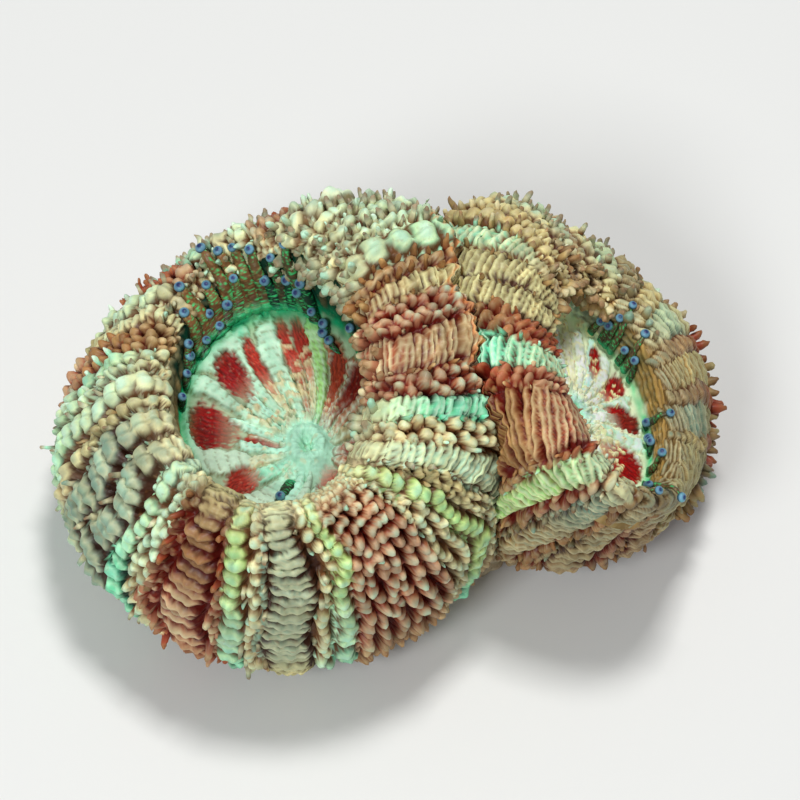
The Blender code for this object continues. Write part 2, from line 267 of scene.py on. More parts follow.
# rows of swellings on a ridge: place across it, form, width and length in millimetres (a width below 0 is
# a share of the ridge's own), height, closeness; "rows" means as many as fit
ridgeRows = {
    "plates": [(0.5, "fold", -0.92, 0.66, 0.90, 0.90), (0.0, "bead", 0.62, 0.58, 0.66, 1.0),
               (0.04, "finger", 0.5, 0.5, 1.4, 5.0)],
    "ruffles": [(0.5, "ruffle", -1.0, 0.52, 0.74, 0.94), (0.0, "bead", 0.52, 0.46, 0.62, 1.15),
                (0.03, "finger", 0.46, 0.46, 1.6, 3.2)],
    "pillows": [(0.5, "pillow", -1.0, 1.15, 1.0, 0.88), (0.0, "bead", 0.55, 0.55, 0.40, 1.0)],
    "lobes": [(0.5, "lobe", -0.94, 1.30, 1.20, 0.90), (0.0, "bead", 0.60, 0.55, 0.45, 1.2),
              (0.03, "finger", 0.56, 0.56, 1.8, 3.0)],
    "knobs": [("rows", "bead", 0.92, 0.88, 0.95, 1.0), (0.0, "finger", 0.50, 0.50, 1.6, 4.0)],
    "bigKnobs": [("rows", "bead", 1.02, 0.92, 1.2, 1.08), (0.0, "bead", 0.7, 0.7, 0.6, 1.6),
                 (0.45, "finger", 0.8, 0.8, 0.8, 7.0)],
    "bigLobes": [(0.5, "pillow", -1.0, 1.9, 1.3, 0.92), (0.0, "bead", 0.6, 0.6, 0.5, 1.4)],
    "lumps": [(0.56, "fold", -0.66, 0.86, 1.05, 0.92), (0.12, "bead", 0.8, 0.8, 0.35, 1.8),
              (0.0, "bead", 0.86, 0.75, 0.95, 1.0), (1.0, "bead", 0.86, 0.75, 0.85, 1.0),
              (0.04, "finger", 0.66, 0.66, 1.5, 2.6), (0.96, "finger", 0.66, 0.66, 1.5, 2.6)],
    "points": [(0.5, "lobe", -0.74, 1.0, 0.95, 0.92), (0.0, "bead", 0.62, 0.60, 0.50, 1.1),
               (0.08, "finger", 0.64, 0.64, 2.0, 1.5), (0.92, "finger", 0.64, 0.64, 2.0, 1.7)],
    "bushes": [(0.5, "fold", -0.98, 0.95, 1.05, 0.92), (0.0, "finger", 0.74, 0.74, 1.4, 2.0),
               (0.55, "finger", 0.62, 0.62, 1.3, 4.5)],
}

largePolyp = {
    "side": 1, "turn": 12.0, "seed": 3, "bend": (320, 26, 8.2, 9.6, 0), "calm": (258, 62, 6.9),
    "sections": [
        (0.3, 0.4, -5.0, -2.0, 11.9, -4, 0.0, 0.0),
        (0.9, 1.2, -5.0, -2.0, 12.9, -4, 0.0, 0.0),
        (2.0, 2.5, -5.1, -1.9, 12.4, -4, 0.0, 0.0),
        (4.4, 5.6, -5.8, -1.3, 12.8, -6, 0.0, 0.0),
        (6.4, 8.2, -6.6, -0.8, 13.9, -8, 0.0, 0.1),
        (6.9, 9.2, -7.0, -0.4, 15.6, -12, 0.0, 0.5),
        (6.9, 9.9, -7.5, -0.2, 17.6, -14, 0.0, 0.9),
        (8.9, 11.8, -7.6, -0.3, 18.7, -14, 0.4, 1.0),
        (12.8, 13.8, -6.6, -0.3, 16.4, -12, 1.0, 1.0),
        (14.8, 15.0, -6.6, 0.0, 11.2, -7, 1.0, 0.5),
        (14.6, 14.8, -6.5, 0.0, 6.8, -3, 1.0, 0.1),
        (13.2, 13.6, -6.4, 0.1, 3.5, 0, 1.0, 0.0),
        (11.2, 11.6, -6.4, 0.2, 2.6, 0, 1.0, 0.0),
    ],
    "reach": [0.12, 0.21, 0.10, -0.01, 0.02, 0.02, 0.0, -0.02, -0.02, 0.0, -0.02, 0.02],
    "rise": [1.2, 2.0, 1.5, -0.5, -1.6, -1.4, -0.4, 0.0, 0.2, 0.0, 0.0, 0.4],
    "rimDark": [0.9, 1.0, 1.0, 1.0, 0.9, 0.5, 0.0, 0.0, 0.0, 0.0, 0.0, 0.6],
    "paintedSideShade": [1.0] * 12,
    "first": (253, 252),
    # kind, width at the rim and at the lip in degrees, finishes from the rim to the lip
    "ridges": [
        ("plates", 14, 15, "cream greyTeal greyTeal greyTan"),
        ("knobs", 5, 5, "cream cream cream mint"),
        ("pillows", 5, 6, "cream yellowMint mint brightMint"),
        ("bigKnobs", 15, 28, "cream rust rust brown"),
        ("knobs", 4, 7, "cream cream cream tan"),
        ("pillows", 5, 8, "cream yellowMint yellowMint brightMint"),
        ("knobs", 3, 6, "cream greyTan cream brown"),
        ("ruffles", 9, 12, "cream paleMint greyTeal greyTeal"),
        ("knobs", 7, 7, "cream cream tan brown"),
        ("ruffles", 10, 7, "cream brightMint mint mint"),
        ("knobs", 8, 6, "deepRed rust rust brown"),
        ("ruffles", 15, 11, "deepRed brown brown orange"),
        ("knobs", 9, 7, "deepRed rust cream brown"),
        ("ruffles", 6, 6, "brown greyTan tan tan"),
        ("points", 6, 5, "brown brown cream brown"),
        ("bigLobes", 12, 12, "cream mint brightMint mint"),
        ("points", 6, 5, "cream paleMint paleMint tan"),
        ("points", 9, 8, "cream paleMint cream tan"),
        ("points", 9, 8, "cream paleMint paleMint tan"),
        ("bigLobes", 10, 9, "cream whiteMint paleMint cream"),
        ("points", 9, 9, "cream paleMint paleMint tan"),
        ("knobs", 12, 12, "cream redBrown redBrown redBrown"),
        ("points", 10, 10, "cream paleMint paleMint cream"),
        ("lobes", 10, 10, "cream cream paleMint paleMint"),
        ("points", 10, 10, "cream mint mint paleMint"),
        ("knobs", 12, 12, "cream redBrown redBrown orange"),
        ("lobes", 10, 10, "tan paleMint paleMint cream"),
        ("plates", 8, 8, "cream cream greyTan cream"),
        ("bigKnobs", 12, 12, "tan bark deepRed brown"),
        ("lobes", 6, 6, "cream mint paleMint brightMint"),
        ("lobes", 4, 4, "cream paleMint mint mint"),
        ("lobes", 11, 11, "cream paleMint mint brightMint"),
        ("lobes", 6, 6, "cream greyTan cream brightMint"),
        ("lobes", 13, 13, "cream greyTeal greyTeal paleMint"),
        ("lobes", 13, 13, "cream greyTeal greyTeal paleMint"),
        ("pillows", 7, 7, "paleMint mint brightMint brightMint"),
        ("knobs", 7, 7, "cream paleMint cream cream"),
        ("lumps", 20, 20, "greyTan maroon deepRed redBrown"),
        ("pillows", 8, 8, "cream yellowMint mint brightMint"),
        ("knobs", 4, 4, "cream cream cream cream"),
    ],
}

smallPolyp = {
    "side": -1, "turn": 12.0, "seed": 8, "bend": (250, 34, 8.0, 10.4, 27), "calm": (334, 80, 9.0),
    "sections": [
        (0.3, 0.4, 12.8, 0.2, 12.5, 34, 0.0, 0.0),
        (0.8, 1.1, 12.8, 0.2, 13.4, 34, 0.0, 0.0),
        (1.7, 2.2, 12.8, 0.2, 13.0, 34, 0.0, 0.0),
        (3.4, 4.9, 13.0, 0.2, 13.1, 34, 0.0, 0.0),
        (4.8, 7.3, 13.4, 0.2, 13.7, 35, 0.0, 0.1),
        (5.1, 8.0, 14.1, 0.2, 14.8, 36, 0.0, 0.5),
        (4.9, 8.3, 14.9, 0.3, 15.9, 36, 0.0, 0.9),
        (7.0, 10.2, 14.7, 0.9, 16.3, 35, 0.4, 1.0),
        (9.4, 11.2, 13.4, 2.2, 14.0, 29, 1.0, 1.0),
        (9.8, 10.8, 12.3, 3.1, 9.6, 14, 1.0, 0.5),
        (9.3, 10.3, 12.0, 3.2, 6.4, 5, 1.0, 0.1),
        (8.2, 9.2, 11.8, 3.3, 3.7, 0, 1.0, 0.0),
        (6.6, 7.6, 11.8, 3.4, 2.8, 0, 1.0, 0.0),
    ],
    "reach": [0.0, 0.09, 0.12, 0.11, 0.28, 0.27, 0.18, 0.12, 0.03, -0.03, -0.04, -0.04],
    "rise": [-0.5, 0.3, 0.2, 0.0, 0.8, 1.2, 0.8, 0.6, 0.2, 0.0, -0.4, -0.8],
    "rimDark": [0.0, 0.2, 0.2, 0.0, 0.0, 0.0, 0.0, 0.0, 0.0, 0.0, 0.0, 0.0],
    # the flesh's painted shade by angle round the polyp: 1 leaves it as it is
    "paintedSideShade": [0.74, 0.95, 1.0, 1.0, 1.0, 1.0, 1.0, 1.0, 0.90, 0.74, 0.70, 0.70],
    "first": (60, 60),
    "ridges": [
        ("bushes", 12, 12, "mustard paleMint rust ochre"),
        ("bushes", 12, 12, "tan cream paleMint rust"),
        ("plates", 11, 11, "mustard rust mustard tan"),
        ("points", 9, 9, "tan paleMint mustard rust"),
        ("points", 9, 9, "brown cream tan ochre"),
        ("plates", 9, 9, "mustard mustard mustard brown"),
        ("points", 9, 9, "mustard mustard ochre brown"),
        ("ruffles", 10, 10, "tan mint brightMint mint"),
        ("ruffles", 12, 12, "greyTan greyTan paleMint greyTan"),
        ("ruffles", 13, 13, "greyTan greyTan greyTan tan"),
        ("knobs", 11, 11, "redBrown brown brown brown"),
        ("ruffles", 13, 13, "mint brightMint mint mint"),
        ("knobs", 7, 7, "deepRed redBrown brown brown"),
        ("ruffles", 28, 28, "deepRed bark bark brown"),
        ("knobs", 4, 4, "redBrown brown tan brown"),
        ("ruffles", 14, 14, "paleMint yellowMint yellowMint yellowMint"),
        ("knobs", 8, 8, "cream deepRed brown brown"),
        ("ruffles", 13, 13, "cream greyTeal ochre brown"),
        ("knobs", 5, 5, "ochre brown brown brown"),
        ("plates", 13, 13, "ochre ochre ochre brown"),
        ("knobs", 6, 6, "ochre brown deepRed brown"),
        ("plates", 11, 11, "ochre ochre brown brown"),
        ("ruffles", 14, 13, "ochre greyTan mustard redBrown"),
        ("ruffles", 14, 13, "ochre mustard greyTan brown"),
        ("ruffles", 13, 12, "ochre greyTan ochre redBrown"),
        ("points", 6, 8, "ochre mustard redBrown redBrown"),
        ("ruffles", 12, 11, "ochre greyTeal greyTan paleMint"),
        ("points", 8, 12, "ochre brown redBrown redBrown"),
        ("ruffles", 11, 11, "ochre mustard greyTan brown"),
        ("points", 9, 11, "ochre brown redBrown redBrown"),
        ("bushes", 12, 11, "ochre paleMint mustard brown"),
        ("bushes", 12, 11, "ochre mustard paleMint rust"),
        ("bushes", 11, 9, "ochre ochre greyTan redBrown"),
    ],
}


def ridgeEdges(polyp, place):
    # where every ridge begins and ends, in degrees, at these places down the mantle
    place = np.asarray(place, float)[..., None]
    sides = []
    for start, column in zip(polyp["first"], (1, 2)):
        widths = np.array([ridge[column] for ridge in polyp["ridges"]]) * 360
        widths = widths / widths.sum() * 360
        sides.append(start + np.concatenate([[0], np.cumsum(widths)]))
    inner, outer = sides
    share = smoothStep(6.3, 9.8, place)
    number = np.arange(len(inner)) % (len(inner) - 1)
    thin = np.minimum(widths, np.roll(widths, 1))
    thin = np.concatenate([thin, thin[:1]])
    begin = 6.3 * chanceOf(number, polyp["seed"])
    wander = 0.14 * thin * np.sin(place * (2.2 + 0.9 * chanceOf(number, 4.0)) + begin)
    edges = inner * (1 - share) + outer * share + wander * smoothStep(6.4, 7.6, place)
    # near the seam they swing round towards it
    middle, half, low, high, swing = polyp["bend"]
    return edges - swing * bell(turnFrom(middle, edges), 0, half) * smoothStep(low, high, place)


def meander(place, angle):
    # how far the ridges wander to either side, in degrees
    turns = np.radians(angle)
    both = 0.9 * np.sin(place * 2.3 + turns * 5) + 0.6 * np.sin(place * 4.7 + turns * 10 + 1)
    return both * smoothStep(6.2, 7.5, place)


def ridgeUnder(polyp, place, angle):
    edges = ridgeEdges(polyp, place)
    bent = angle + meander(place, angle)
    bent = edges[..., 0] + np.mod(bent - edges[..., 0], 360)
    return np.clip((edges <= bent[..., None]).sum(axis=-1) - 1, 0, len(polyp["ridges"]) - 1)


def alongFinish(polyp, part, index, place, angle):
    # every ridge has four finishes, which blend into each other down to finishEnd
    table = np.array([
        [paint[finishes[name][part]] for name in ridge[3].split()] for ridge in polyp["ridges"]
    ])
    far = travelled(polyp, place, angle) / travelled(polyp, np.full_like(place, finishEnd), angle)
    step = np.clip(far, 0, 0.9999) * 3
    low = step.astype(int)
    return laidOver(table[index, low], table[index, low + 1], smoothStep(0.15, 0.85, step - low))


def calmShare(polyp, place, angle):
    # by part of the rim the ridges lie side by side, with no valleys and no knobs between them
    middle, half, end = polyp["calm"]
    return np.exp(-(turnFrom(middle, angle) / half) ** 4) * smoothStep(end + 0.5, end - 0.4, place)


def ridgeSpots(polyp, seed, forms):
    # place, angle, width, length, height, ridge, form number
    chance = random.Random(seed)
    spots = []
    noLimit = 9.0  # on how much of the ridge's width a swelling may take
    places = np.linspace(rimPlace, spotEnd, 420)
    edges = ridgeEdges(polyp, places)
    for index, ridge in enumerate(polyp["ridges"]):
        lines = []
        gap = np.linalg.norm(fleshAt(polyp, places, edges[:, index + 1])
                             - fleshAt(polyp, places, edges[:, index]), axis=1) / mm
        for across, form, size, long, tall, close in ridgeRows[ridge[0]]:
            if across == "rows":
                rows = max(1, round(float(gap[180:300].mean()) / size))
                for row in range(rows):
                    lines.append(((row + 0.5) / rows, form, size, long, tall, close, 1.12 / rows))
            else:
                lines.append((across, form, size, long, tall, close, noLimit))
        for across, form, size, long, tall, close, most in lines:
            angles = edges[:, index] * (1 - across) + edges[:, index + 1] * across
            angles = angles - meander(places, angles)
            points = fleshAt(polyp, places, angles)
            steps = np.linalg.norm(np.diff(points, axis=0), axis=1) / mm
            lengths = np.concatenate([[0], np.cumsum(steps)])
            far = chance.uniform(0, 1) * long * 0.6
            while far < lengths[-1]:
                place = float(np.interp(far, lengths, places))
                angle = float(np.interp(far, lengths, angles))
                room = float(np.interp(far, lengths, gap))
                calm = float(calmShare(polyp, place, angle))
                grow = min(1.0, max(0.2, 0.5 + 0.5 * (place - rimPlace) / 1.3))
                if size < 0:
                    wide = -size * room * chance.uniform(0.9, 1.08)
                else:
                    wide = size * grow * chance.uniform(0.8, 1.2)
                wide = min(wide, most * room)
                length = long * grow * chance.uniform(0.8, 1.2)
                length = max(min(length, wide * (0.9 if size < 0 else 1.15)), 0.34)
                nudge = chance.uniform(-0.12, 0.12) * min(wide, 0.9) / max(room, 0.3)
                nudge *= edges[0, index + 1] - edges[0, index]
                high = tall * chance.uniform(0.78, 1.2) * (0.1 + 0.9 * grow) * (1 - 0.35 * calm)
                if size < 0:
                    wide, length = wide * (1 + 0.25 * calm), length * (1 - 0.2 * calm)
                if most < noLimit:
                    nudge *= 2.6
                if form in forms and wide > 0.3 and (size < 0 or most < noLimit or calm < 0.5):
                    spots.append((place, angle + nudge, wide, length, high, index, forms.index(form)))
                far += length * close * (0.9 + 0.2 * chance.random())
    return [np.array(column) for column in zip(*spots)]


# how a form swells: flatness across and along, roundness of the crest, bow, edge line, turn, where its crease
# starts, how light its crease is (the crease is painted shade over the crease tone), how pale its ends are,
# how pale the line along its crest is (partly painted highlight)
swellings = {
    "fold": (3.4, 2.0, 0.52, 0.14, 0.45, 0.12, 0.64, 0.9, 0.5, 0.55),
    "ruffle": (4.0, 2.0, 0.55, 0.08, 0.0, 0.10, 0.70, 1.1, 0.6, 0.70),
    "lobe": (2.6, 2.2, 0.50, 0.10, 0.45, 0.14, 0.72, 0.8, 0.4, 0.0),
    "pillow": (2.4, 2.0, 0.50, 0.08, 0.45, 0.12, 0.70, 0.9, 0.3, 0.0),
    "bead": (2.2, 2.2, 0.62, 0.0, 0.35, 0.6, 0.80, 1.5, 0.0, 0.0),
}


# how much the swellings differ from each other
variety = {"lean": (0.05, 0.4), "sway": (-0.18, 0.18), "light": (0.76, 1.12), "warm": (-0.35, 1.0),
           "warmTint": (0.10, -0.03, -0.16)}


def raiseSwellings(polyp, settings, places, angles, base):
    # swellings pressed against each other above deep creases, whose darkness is partly painted shade
    columns, rows = places.shape
    chance = np.random.default_rng(settings["seed"])
    forms = list(swellings)
    place, angle, wide, long, high, index, form = ridgeSpots(polyp, settings["seed"], forms)
    index, form = index.astype(int), form.astype(int)
    build = np.array([swellings[name] for name in forms])[form]
    centre = fleshAt(polyp, place, angle)
    _, down, side, arc = fleshFrame(polyp, place, angle)
    bodies, edges, creases, tops = (alongFinish(polyp, part, index, place, angle) for part in (0, 1, 2, 4))
    count = len(place)
    lean = chance.uniform(*variety["lean"], count) * smoothStep(6.2, 7.4, place)
    lean = np.where(form == forms.index("bead"), lean * 0.5 - 0.08, lean)
    sway = chance.uniform(*variety["sway"], count)
    turn = chance.uniform(-1, 1, count) * build[:, 5]
    light = chance.uniform(*variety["light"], count)
    warm = chance.uniform(*variety["warm"], count)[:, None] * np.array(variety["warmTint"])
    mixed = chance.random(count)
    calmSpot = calmShare(polyp, place, angle)
    phase = chance.uniform(0, 6.3, count)
    # the ground between the swellings
    swell = smoothStep(6.0, 7.2, places) * (1 - 0.5 * smoothStep(11, 12, places))
    under = ridgeUnder(polyp, places, angles)
    calm = calmShare(polyp, places, angles)
    level = -settings["valley"] * swell * (1 - 0.75 * calm)
    push = np.zeros_like(level)
    aside = np.zeros_like(level)
    # painted shade: from the rim down, the ground between the swellings is the crease tone darkened further,
    # less where the ridges lie calm
    dark = smoothStep(5.95, 6.5, places) * (1 - 0.85 * calm)
    ground, crack = (alongFinish(polyp, part, under, places, angles) for part in (0, 2))
    colour = laidOver(ground, crack * settings["creaseShade"], dark)
    floor = -0.55 * settings["valley"] * smoothStep(6.0, 7.2, place)
    lengths = travelled(polyp, places, angles)
    length = travelled(polyp, place, angle)
    for k in range(count):
        flatAcross, flatAlong, roundness, bow, line, _, crease, creaseLight, endPale, crest = build[k]
        column = int(round(angle[k] / 360 * columns)) % columns
        spanColumns = int(math.ceil(wide[k] * 0.62 / (arc[k] / mm * 360 / columns))) + 2
        near = np.arange(column - spanColumns, column + spanColumns + 1) % columns
        reach = long[k] * 0.8 + 0.25 * wide[k]
        low = max(int(np.searchsorted(lengths[column], length[k] - reach)) - 2, 0)
        top = min(int(np.searchsorted(lengths[column], length[k] + reach)) + 3, rows)
        if top <= low:
            continue
        window = np.ix_(near, np.arange(low, top))
        away = (base[window] - centre[k]) / mm
        a, b = away @ side[k], away @ down[k]
        cos, sin = math.cos(turn[k]), math.sin(turn[k])
        a, b = a * cos + b * sin, b * cos - a * sin
        u = a * 2 / wide[k]
        b = b + bow * long[k] * (u * u - 0.3) + 0.07 * long[k] * np.sin(a * 4.2 + phase[k])
        v = b * 2 / (long[k] * 1.12)
        out = np.abs(u) ** flatAcross + np.abs(v) ** flatAlong
        shape = np.clip(1 - out, 0, 1) ** roundness
        shape = shape * (1 + 0.10 * np.sin(a * 6.5 + phase[k]) * (np.abs(u) < 1))
        raised = floor[k] + high[k] * min(1.0, wide[k] / 0.7) * shape
        wins = (out < 1) & (raised > level[window])
        # its tone: veins, a pale top that is partly painted highlight, pale ends and a pale line along its
        # crest, also partly painted highlight, above a crack painted dark as shade
        vein = 0.5 + 0.5 * np.sin(a * 11.0 + 2.0 * np.sin(b * 2.1 + phase[k]) + phase[k])
        body = bodies[k] * (1 + warm[k]) * (0.88 + 0.20 * vein**2)[..., None]
        body = laidOver(body, edges[k], smoothStep(0.80, 1.0, vein) * 0.5 * endPale)
        peak = smoothStep(0.36 if endPale else 0.5, 0.02, out) * (0.2 + 0.6 * mixed[k])
        edge = np.maximum(bell(out, 0.42 * crease, 0.17) * line, smoothStep(0.60, 0.90, np.abs(u)) * endPale)
        edge = np.maximum(edge, bell(v, 0, 0.34) * crest)
        tone = laidOver(laidOver(body, tops[k], peak), edges[k], edge)
        crack = laidOver(creases[k], bodies[k], 0.75 * calmSpot[k]) * (settings["creaseShade"] * creaseLight)
        tone = laidOver(crack, tone, smoothStep(crease, crease * 0.45, out)) * light[k]
        level[window] = np.where(wins, raised, level[window])
        push[window] = np.where(wins, lean[k] * high[k] * shape, push[window])
        aside[window] = np.where(wins, sway[k] * high[k] * shape, aside[window])
        colour[window] = np.where(wins[..., None], tone, colour[window])
    # inside the rim, where the flesh is in the shade of the knobs
    shade = smoothStep(6.15, 5.8, places) * np.clip(roundValues(polyp["rimDark"], angles), 0, 1)
    colour = laidOver(colour, paint["darkGreen"] * 0.8, shade)
    # painted shade: the flesh is darkened as a whole by angle round the polyp, most on the small polyp's near
    # right side
    colour = colour * roundValues(polyp["paintedSideShade"], angles)[..., None]
    print("swellings", count)
    return level, push, aside, colour


def deselectAll():
    if bpy.context.mode != "OBJECT":
        bpy.ops.object.mode_set(mode="OBJECT")
    bpy.ops.object.select_all(action="DESELECT")


def meshPoints(piece):
    points = np.empty(len(piece.data.vertices) * 3)
    piece.data.vertices.foreach_get("co", points)
    return points.reshape(-1, 3)


def placePoints(piece, points):
    piece.data.vertices.foreach_set("co", np.ascontiguousarray(points, np.float32).ravel())
    piece.data.update()


def paintPoints(piece, colours):
    layer = piece.data.color_attributes.new("tone", "FLOAT_COLOR", "POINT")
    whole = np.ones((len(colours), 4), np.float32)
    whole[:, :3] = np.clip(colours, 0, 1)
    layer.data.foreach_set("color", whole.ravel())
    piece.data.color_attributes.active_color = layer


def smoothAndFace(piece):
    # smooth shading, and faces that look outwards
    deselectAll()
    piece.select_set(True)
    bpy.context.view_layer.objects.active = piece
    bpy.ops.object.shade_smooth()
    mesh = piece.data
    mesh.calc_loop_triangles()
    points = meshPoints(piece)
    corners = np.empty(len(mesh.loop_triangles) * 3, int)
    mesh.loop_triangles.foreach_get("vertices", corners)
    a, b, c = (points[corners.reshape(-1, 3)[:, k]] for k in range(3))
    volume = np.einsum("ij,ij->i", a, np.cross(b, c)).sum() / 6
    if volume < 0:
        bpy.ops.object.mode_set(mode="EDIT")
        bpy.ops.mesh.select_all(action="SELECT")
        bpy.ops.mesh.flip_normals()
        bpy.ops.object.mode_set(mode="OBJECT")
    print(piece.name, "triangles", len(mesh.loop_triangles), "volume mm3", round(abs(volume) / mm**3, 1))


def closeSeams(piece, chosen):
    deselectAll()
    bpy.context.view_layer.objects.active = piece
    piece.select_set(True)
    bpy.ops.object.mode_set(mode="EDIT")
    bpy.ops.mesh.select_mode(type="VERT")
    bpy.ops.mesh.select_all(action="DESELECT")
    bpy.ops.object.mode_set(mode="OBJECT")
    piece.data.vertices.foreach_set("select", chosen)
    bpy.ops.object.mode_set(mode="EDIT")
    bpy.ops.mesh.remove_doubles(threshold=1e-7)
    bpy.ops.object.mode_set(mode="OBJECT")


def belowBowl(polyp, angles):
    # a ring inside the flesh, outside the foot of the bowl's wall and below the disc's edge
    ring = fleshAt(polyp, 4.2, angles)
    outward = unit((ring - ring.mean(axis=0)) * np.array([1, 1, 0]))
    return ring + outward * 1.3 * mm - np.array([0, 0, 1.6 * mm])


def makeMantle(name, polyp, settings):
    deselectAll()
    rows, hidden, columns = settings["rows"], settings["hiddenRows"], settings["columns"]
    # a sheet that is wrapped round the polyp and closed along its two seams
    bpy.ops.mesh.primitive_grid_add(x_subdivisions=columns, y_subdivisions=rows + hidden, size=2)
    piece = bpy.context.active_object
    piece.name = piece.data.name = name
    points = meshPoints(piece)
    column = np.mod(np.rint((points[:, 0] + 1) / 2 * columns), columns).astype(int)
    row = np.mod(np.rint((points[:, 1] + 1) / 2 * (rows + hidden)), rows + hidden).astype(int)
    onSeam = (np.abs(points[:, :2]) > 1 - 1e-6).any(axis=1)
    angles = np.arange(columns) * 360 / columns
    # the rows stand closer together where the flesh shows, and wider apart underneath
    ladder = np.linspace(settings["from"], lipPlace, 300)
    steps = np.array([travelled(polyp, ladder, np.full(300, angle)) for angle in angles])
    counted = np.diff(steps, axis=1) * (1 - 0.5 * smoothStep(10.0, 11.2, ladder[1:]))
    counted = np.concatenate([np.zeros((columns, 1)), np.cumsum(counted, axis=1)], axis=1)
    placeGrid = np.array([np.interp(np.linspace(0, line[-1], rows), line, ladder) for line in counted])
    angleGrid = np.repeat(angles[:, None], rows, axis=1)
    base = fleshAt(polyp, placeGrid, angleGrid)
    normal, down, side, _ = fleshFrame(polyp, placeGrid, angleGrid)
    level, push, aside, colour = raiseSwellings(polyp, settings, placeGrid, angleGrid, base)
    level *= 1 + settings["uneven"] * waves(base, 6.0 * mm, 8.0)
    past = pastSeam(base, polyp["side"])
    if settings["seamLip"] > 0:
        lip = bell(past, -0.28, 0.22) * (placeGrid < 10.5) * smoothStep(-5, 0, alongSeam(base)[1])
        level = level * (1 - 0.5 * lip) + settings["seamLip"] * lip
        colour = laidOver(colour, paint["paleOrange"], np.clip(lip * 1.1 - 0.1, 0, 1) * 0.6)
    fine = sum(waves(base, size * mm, seed) * high for size, seed, high in settings["relief"])
    level = level + fine * smoothStep(rimPlace, 6.6, placeGrid)
    mottling = sum(waves(base, size * mm, seed) * share for size, seed, share in settings["mottling"])
    colour = colour * (1 + mottling)[..., None]
    outer = base + normal * (level * mm)[..., None] + down * (push * mm)[..., None]
    outer = outer + side * (aside * mm)[..., None]
    # the hidden way back: in under the flesh, round below the bowl, then up to the rim
    middle = base.mean(axis=(0, 1))
    foot = base[:, -1] * 0.35 + middle * 0.65
    foot[:, 2] = base[:, -1, 2] + 0.2 * mm
    belly = belowBowl(polyp, angles)
    back = np.linspace(0, 3, hidden + 2)[1:-1]
    stops = np.stack([outer[:, -1], foot, belly, outer[:, 0]])
    inner = np.stack([
        stops[int(q)] * (1 - q % 1) + stops[int(q) + 1] * (q % 1) for q in back
    ], axis=1)
    whole = meetAtSeam(np.concatenate([outer, inner], axis=1), polyp["side"])
    # painted shade: the hidden rows under the flesh take the lip's colour, darkened
    under = np.repeat(colour[:, -1:], hidden, axis=1) * 0.8
    placePoints(piece, whole[column, row])
    paintPoints(piece, np.concatenate([colour, under], axis=1)[column, row])
    closeSeams(piece, onSeam)
    smoothAndFace(piece)
    return piece, (placeGrid, outer)


for polyp in (largePolyp, smallPolyp):
    layOutLengths(polyp)

mantleSettings = {
    "hiddenRows": 12, "from": 5.6, "uneven": 0.12,
    # size of the waves, their seed, and how high or how strong they are
    "relief": [(0.9, 1.0, 0.045), (0.42, 2.0, 0.03)],
    "mottling": [(3.1, 3.0, 0.10), (0.9, 4.0, 0.07)],
}
# each mantle's crease setting darkens its creases' tone: painted shade
largeMantleSettings = {
    **mantleSettings, "columns": 560, "rows": 164, "seed": 21, "valley": 0.55, "creaseShade": 0.55,
    "seamLip": 0.35,
}
smallMantleSettings = {
    **mantleSettings, "columns": 480, "rows": 180, "seed": 34, "valley": 0.5, "creaseShade": 0.6,
    "seamLip": 0,
}
largeMantle, largeGround = makeMantle("largeMantle", largePolyp, largeMantleSettings)
smallMantle, smallGround = makeMantle("smallMantle", smallPolyp, smallMantleSettings)
print("mantles done")


def addSphere(name, sides, rings, radius=1.0):
    # the start of every rounded piece
    deselectAll()
    bpy.ops.mesh.primitive_uv_sphere_add(segments=sides, ring_count=rings, radius=radius)
    piece = bpy.context.active_object
    piece.name = piece.data.name = name
    return piece


def joinedPiece(name, points, faces, colours):
    # one mesh of many parts, with a tone at every point
    mesh = bpy.data.meshes.new(name)
    mesh.from_pydata(points.tolist(), [], faces)
    piece = bpy.data.objects.new(name, mesh)
    bpy.context.collection.objects.link(piece)
    paintPoints(piece, colours)
    return piece


def copyMany(name, master, origins, frames, colours):
    # frames are the copies' axes, scaled, as rows
    shape = meshPoints(master)
    faces = [list(face.vertices) for face in master.data.polygons]
    count = len(shape)
    points = np.einsum("pk,nkj->npj", shape, frames) + origins[:, None, :]
    allFaces = [[corner + index * count for corner in face]
                for index in range(len(origins)) for face in faces]
    return joinedPiece(name, points.reshape(-1, 3), allFaces, colours.reshape(-1, 3))


def makeFingerMaster(settings):
    # a sphere of unit width, drawn out step by step above its middle
    finger = addSphere("fingerMaster", settings["sides"], settings["rings"], 0.5)
    bpy.ops.object.mode_set(mode="EDIT")
    bpy.ops.mesh.select_mode(type="VERT")
    for low, narrow, lift in settings["pulls"]:
        bpy.ops.mesh.select_all(action="DESELECT")
        bpy.ops.object.mode_set(mode="OBJECT")
        for vertex in finger.data.vertices:
            vertex.select = vertex.co.z > low
        bpy.ops.object.mode_set(mode="EDIT")
        bpy.ops.transform.resize(value=(narrow, narrow, 1), center_override=(0, 0, 0))
        bpy.ops.transform.translate(value=(0, 0, lift))
    bpy.ops.object.mode_set(mode="OBJECT")
    return finger


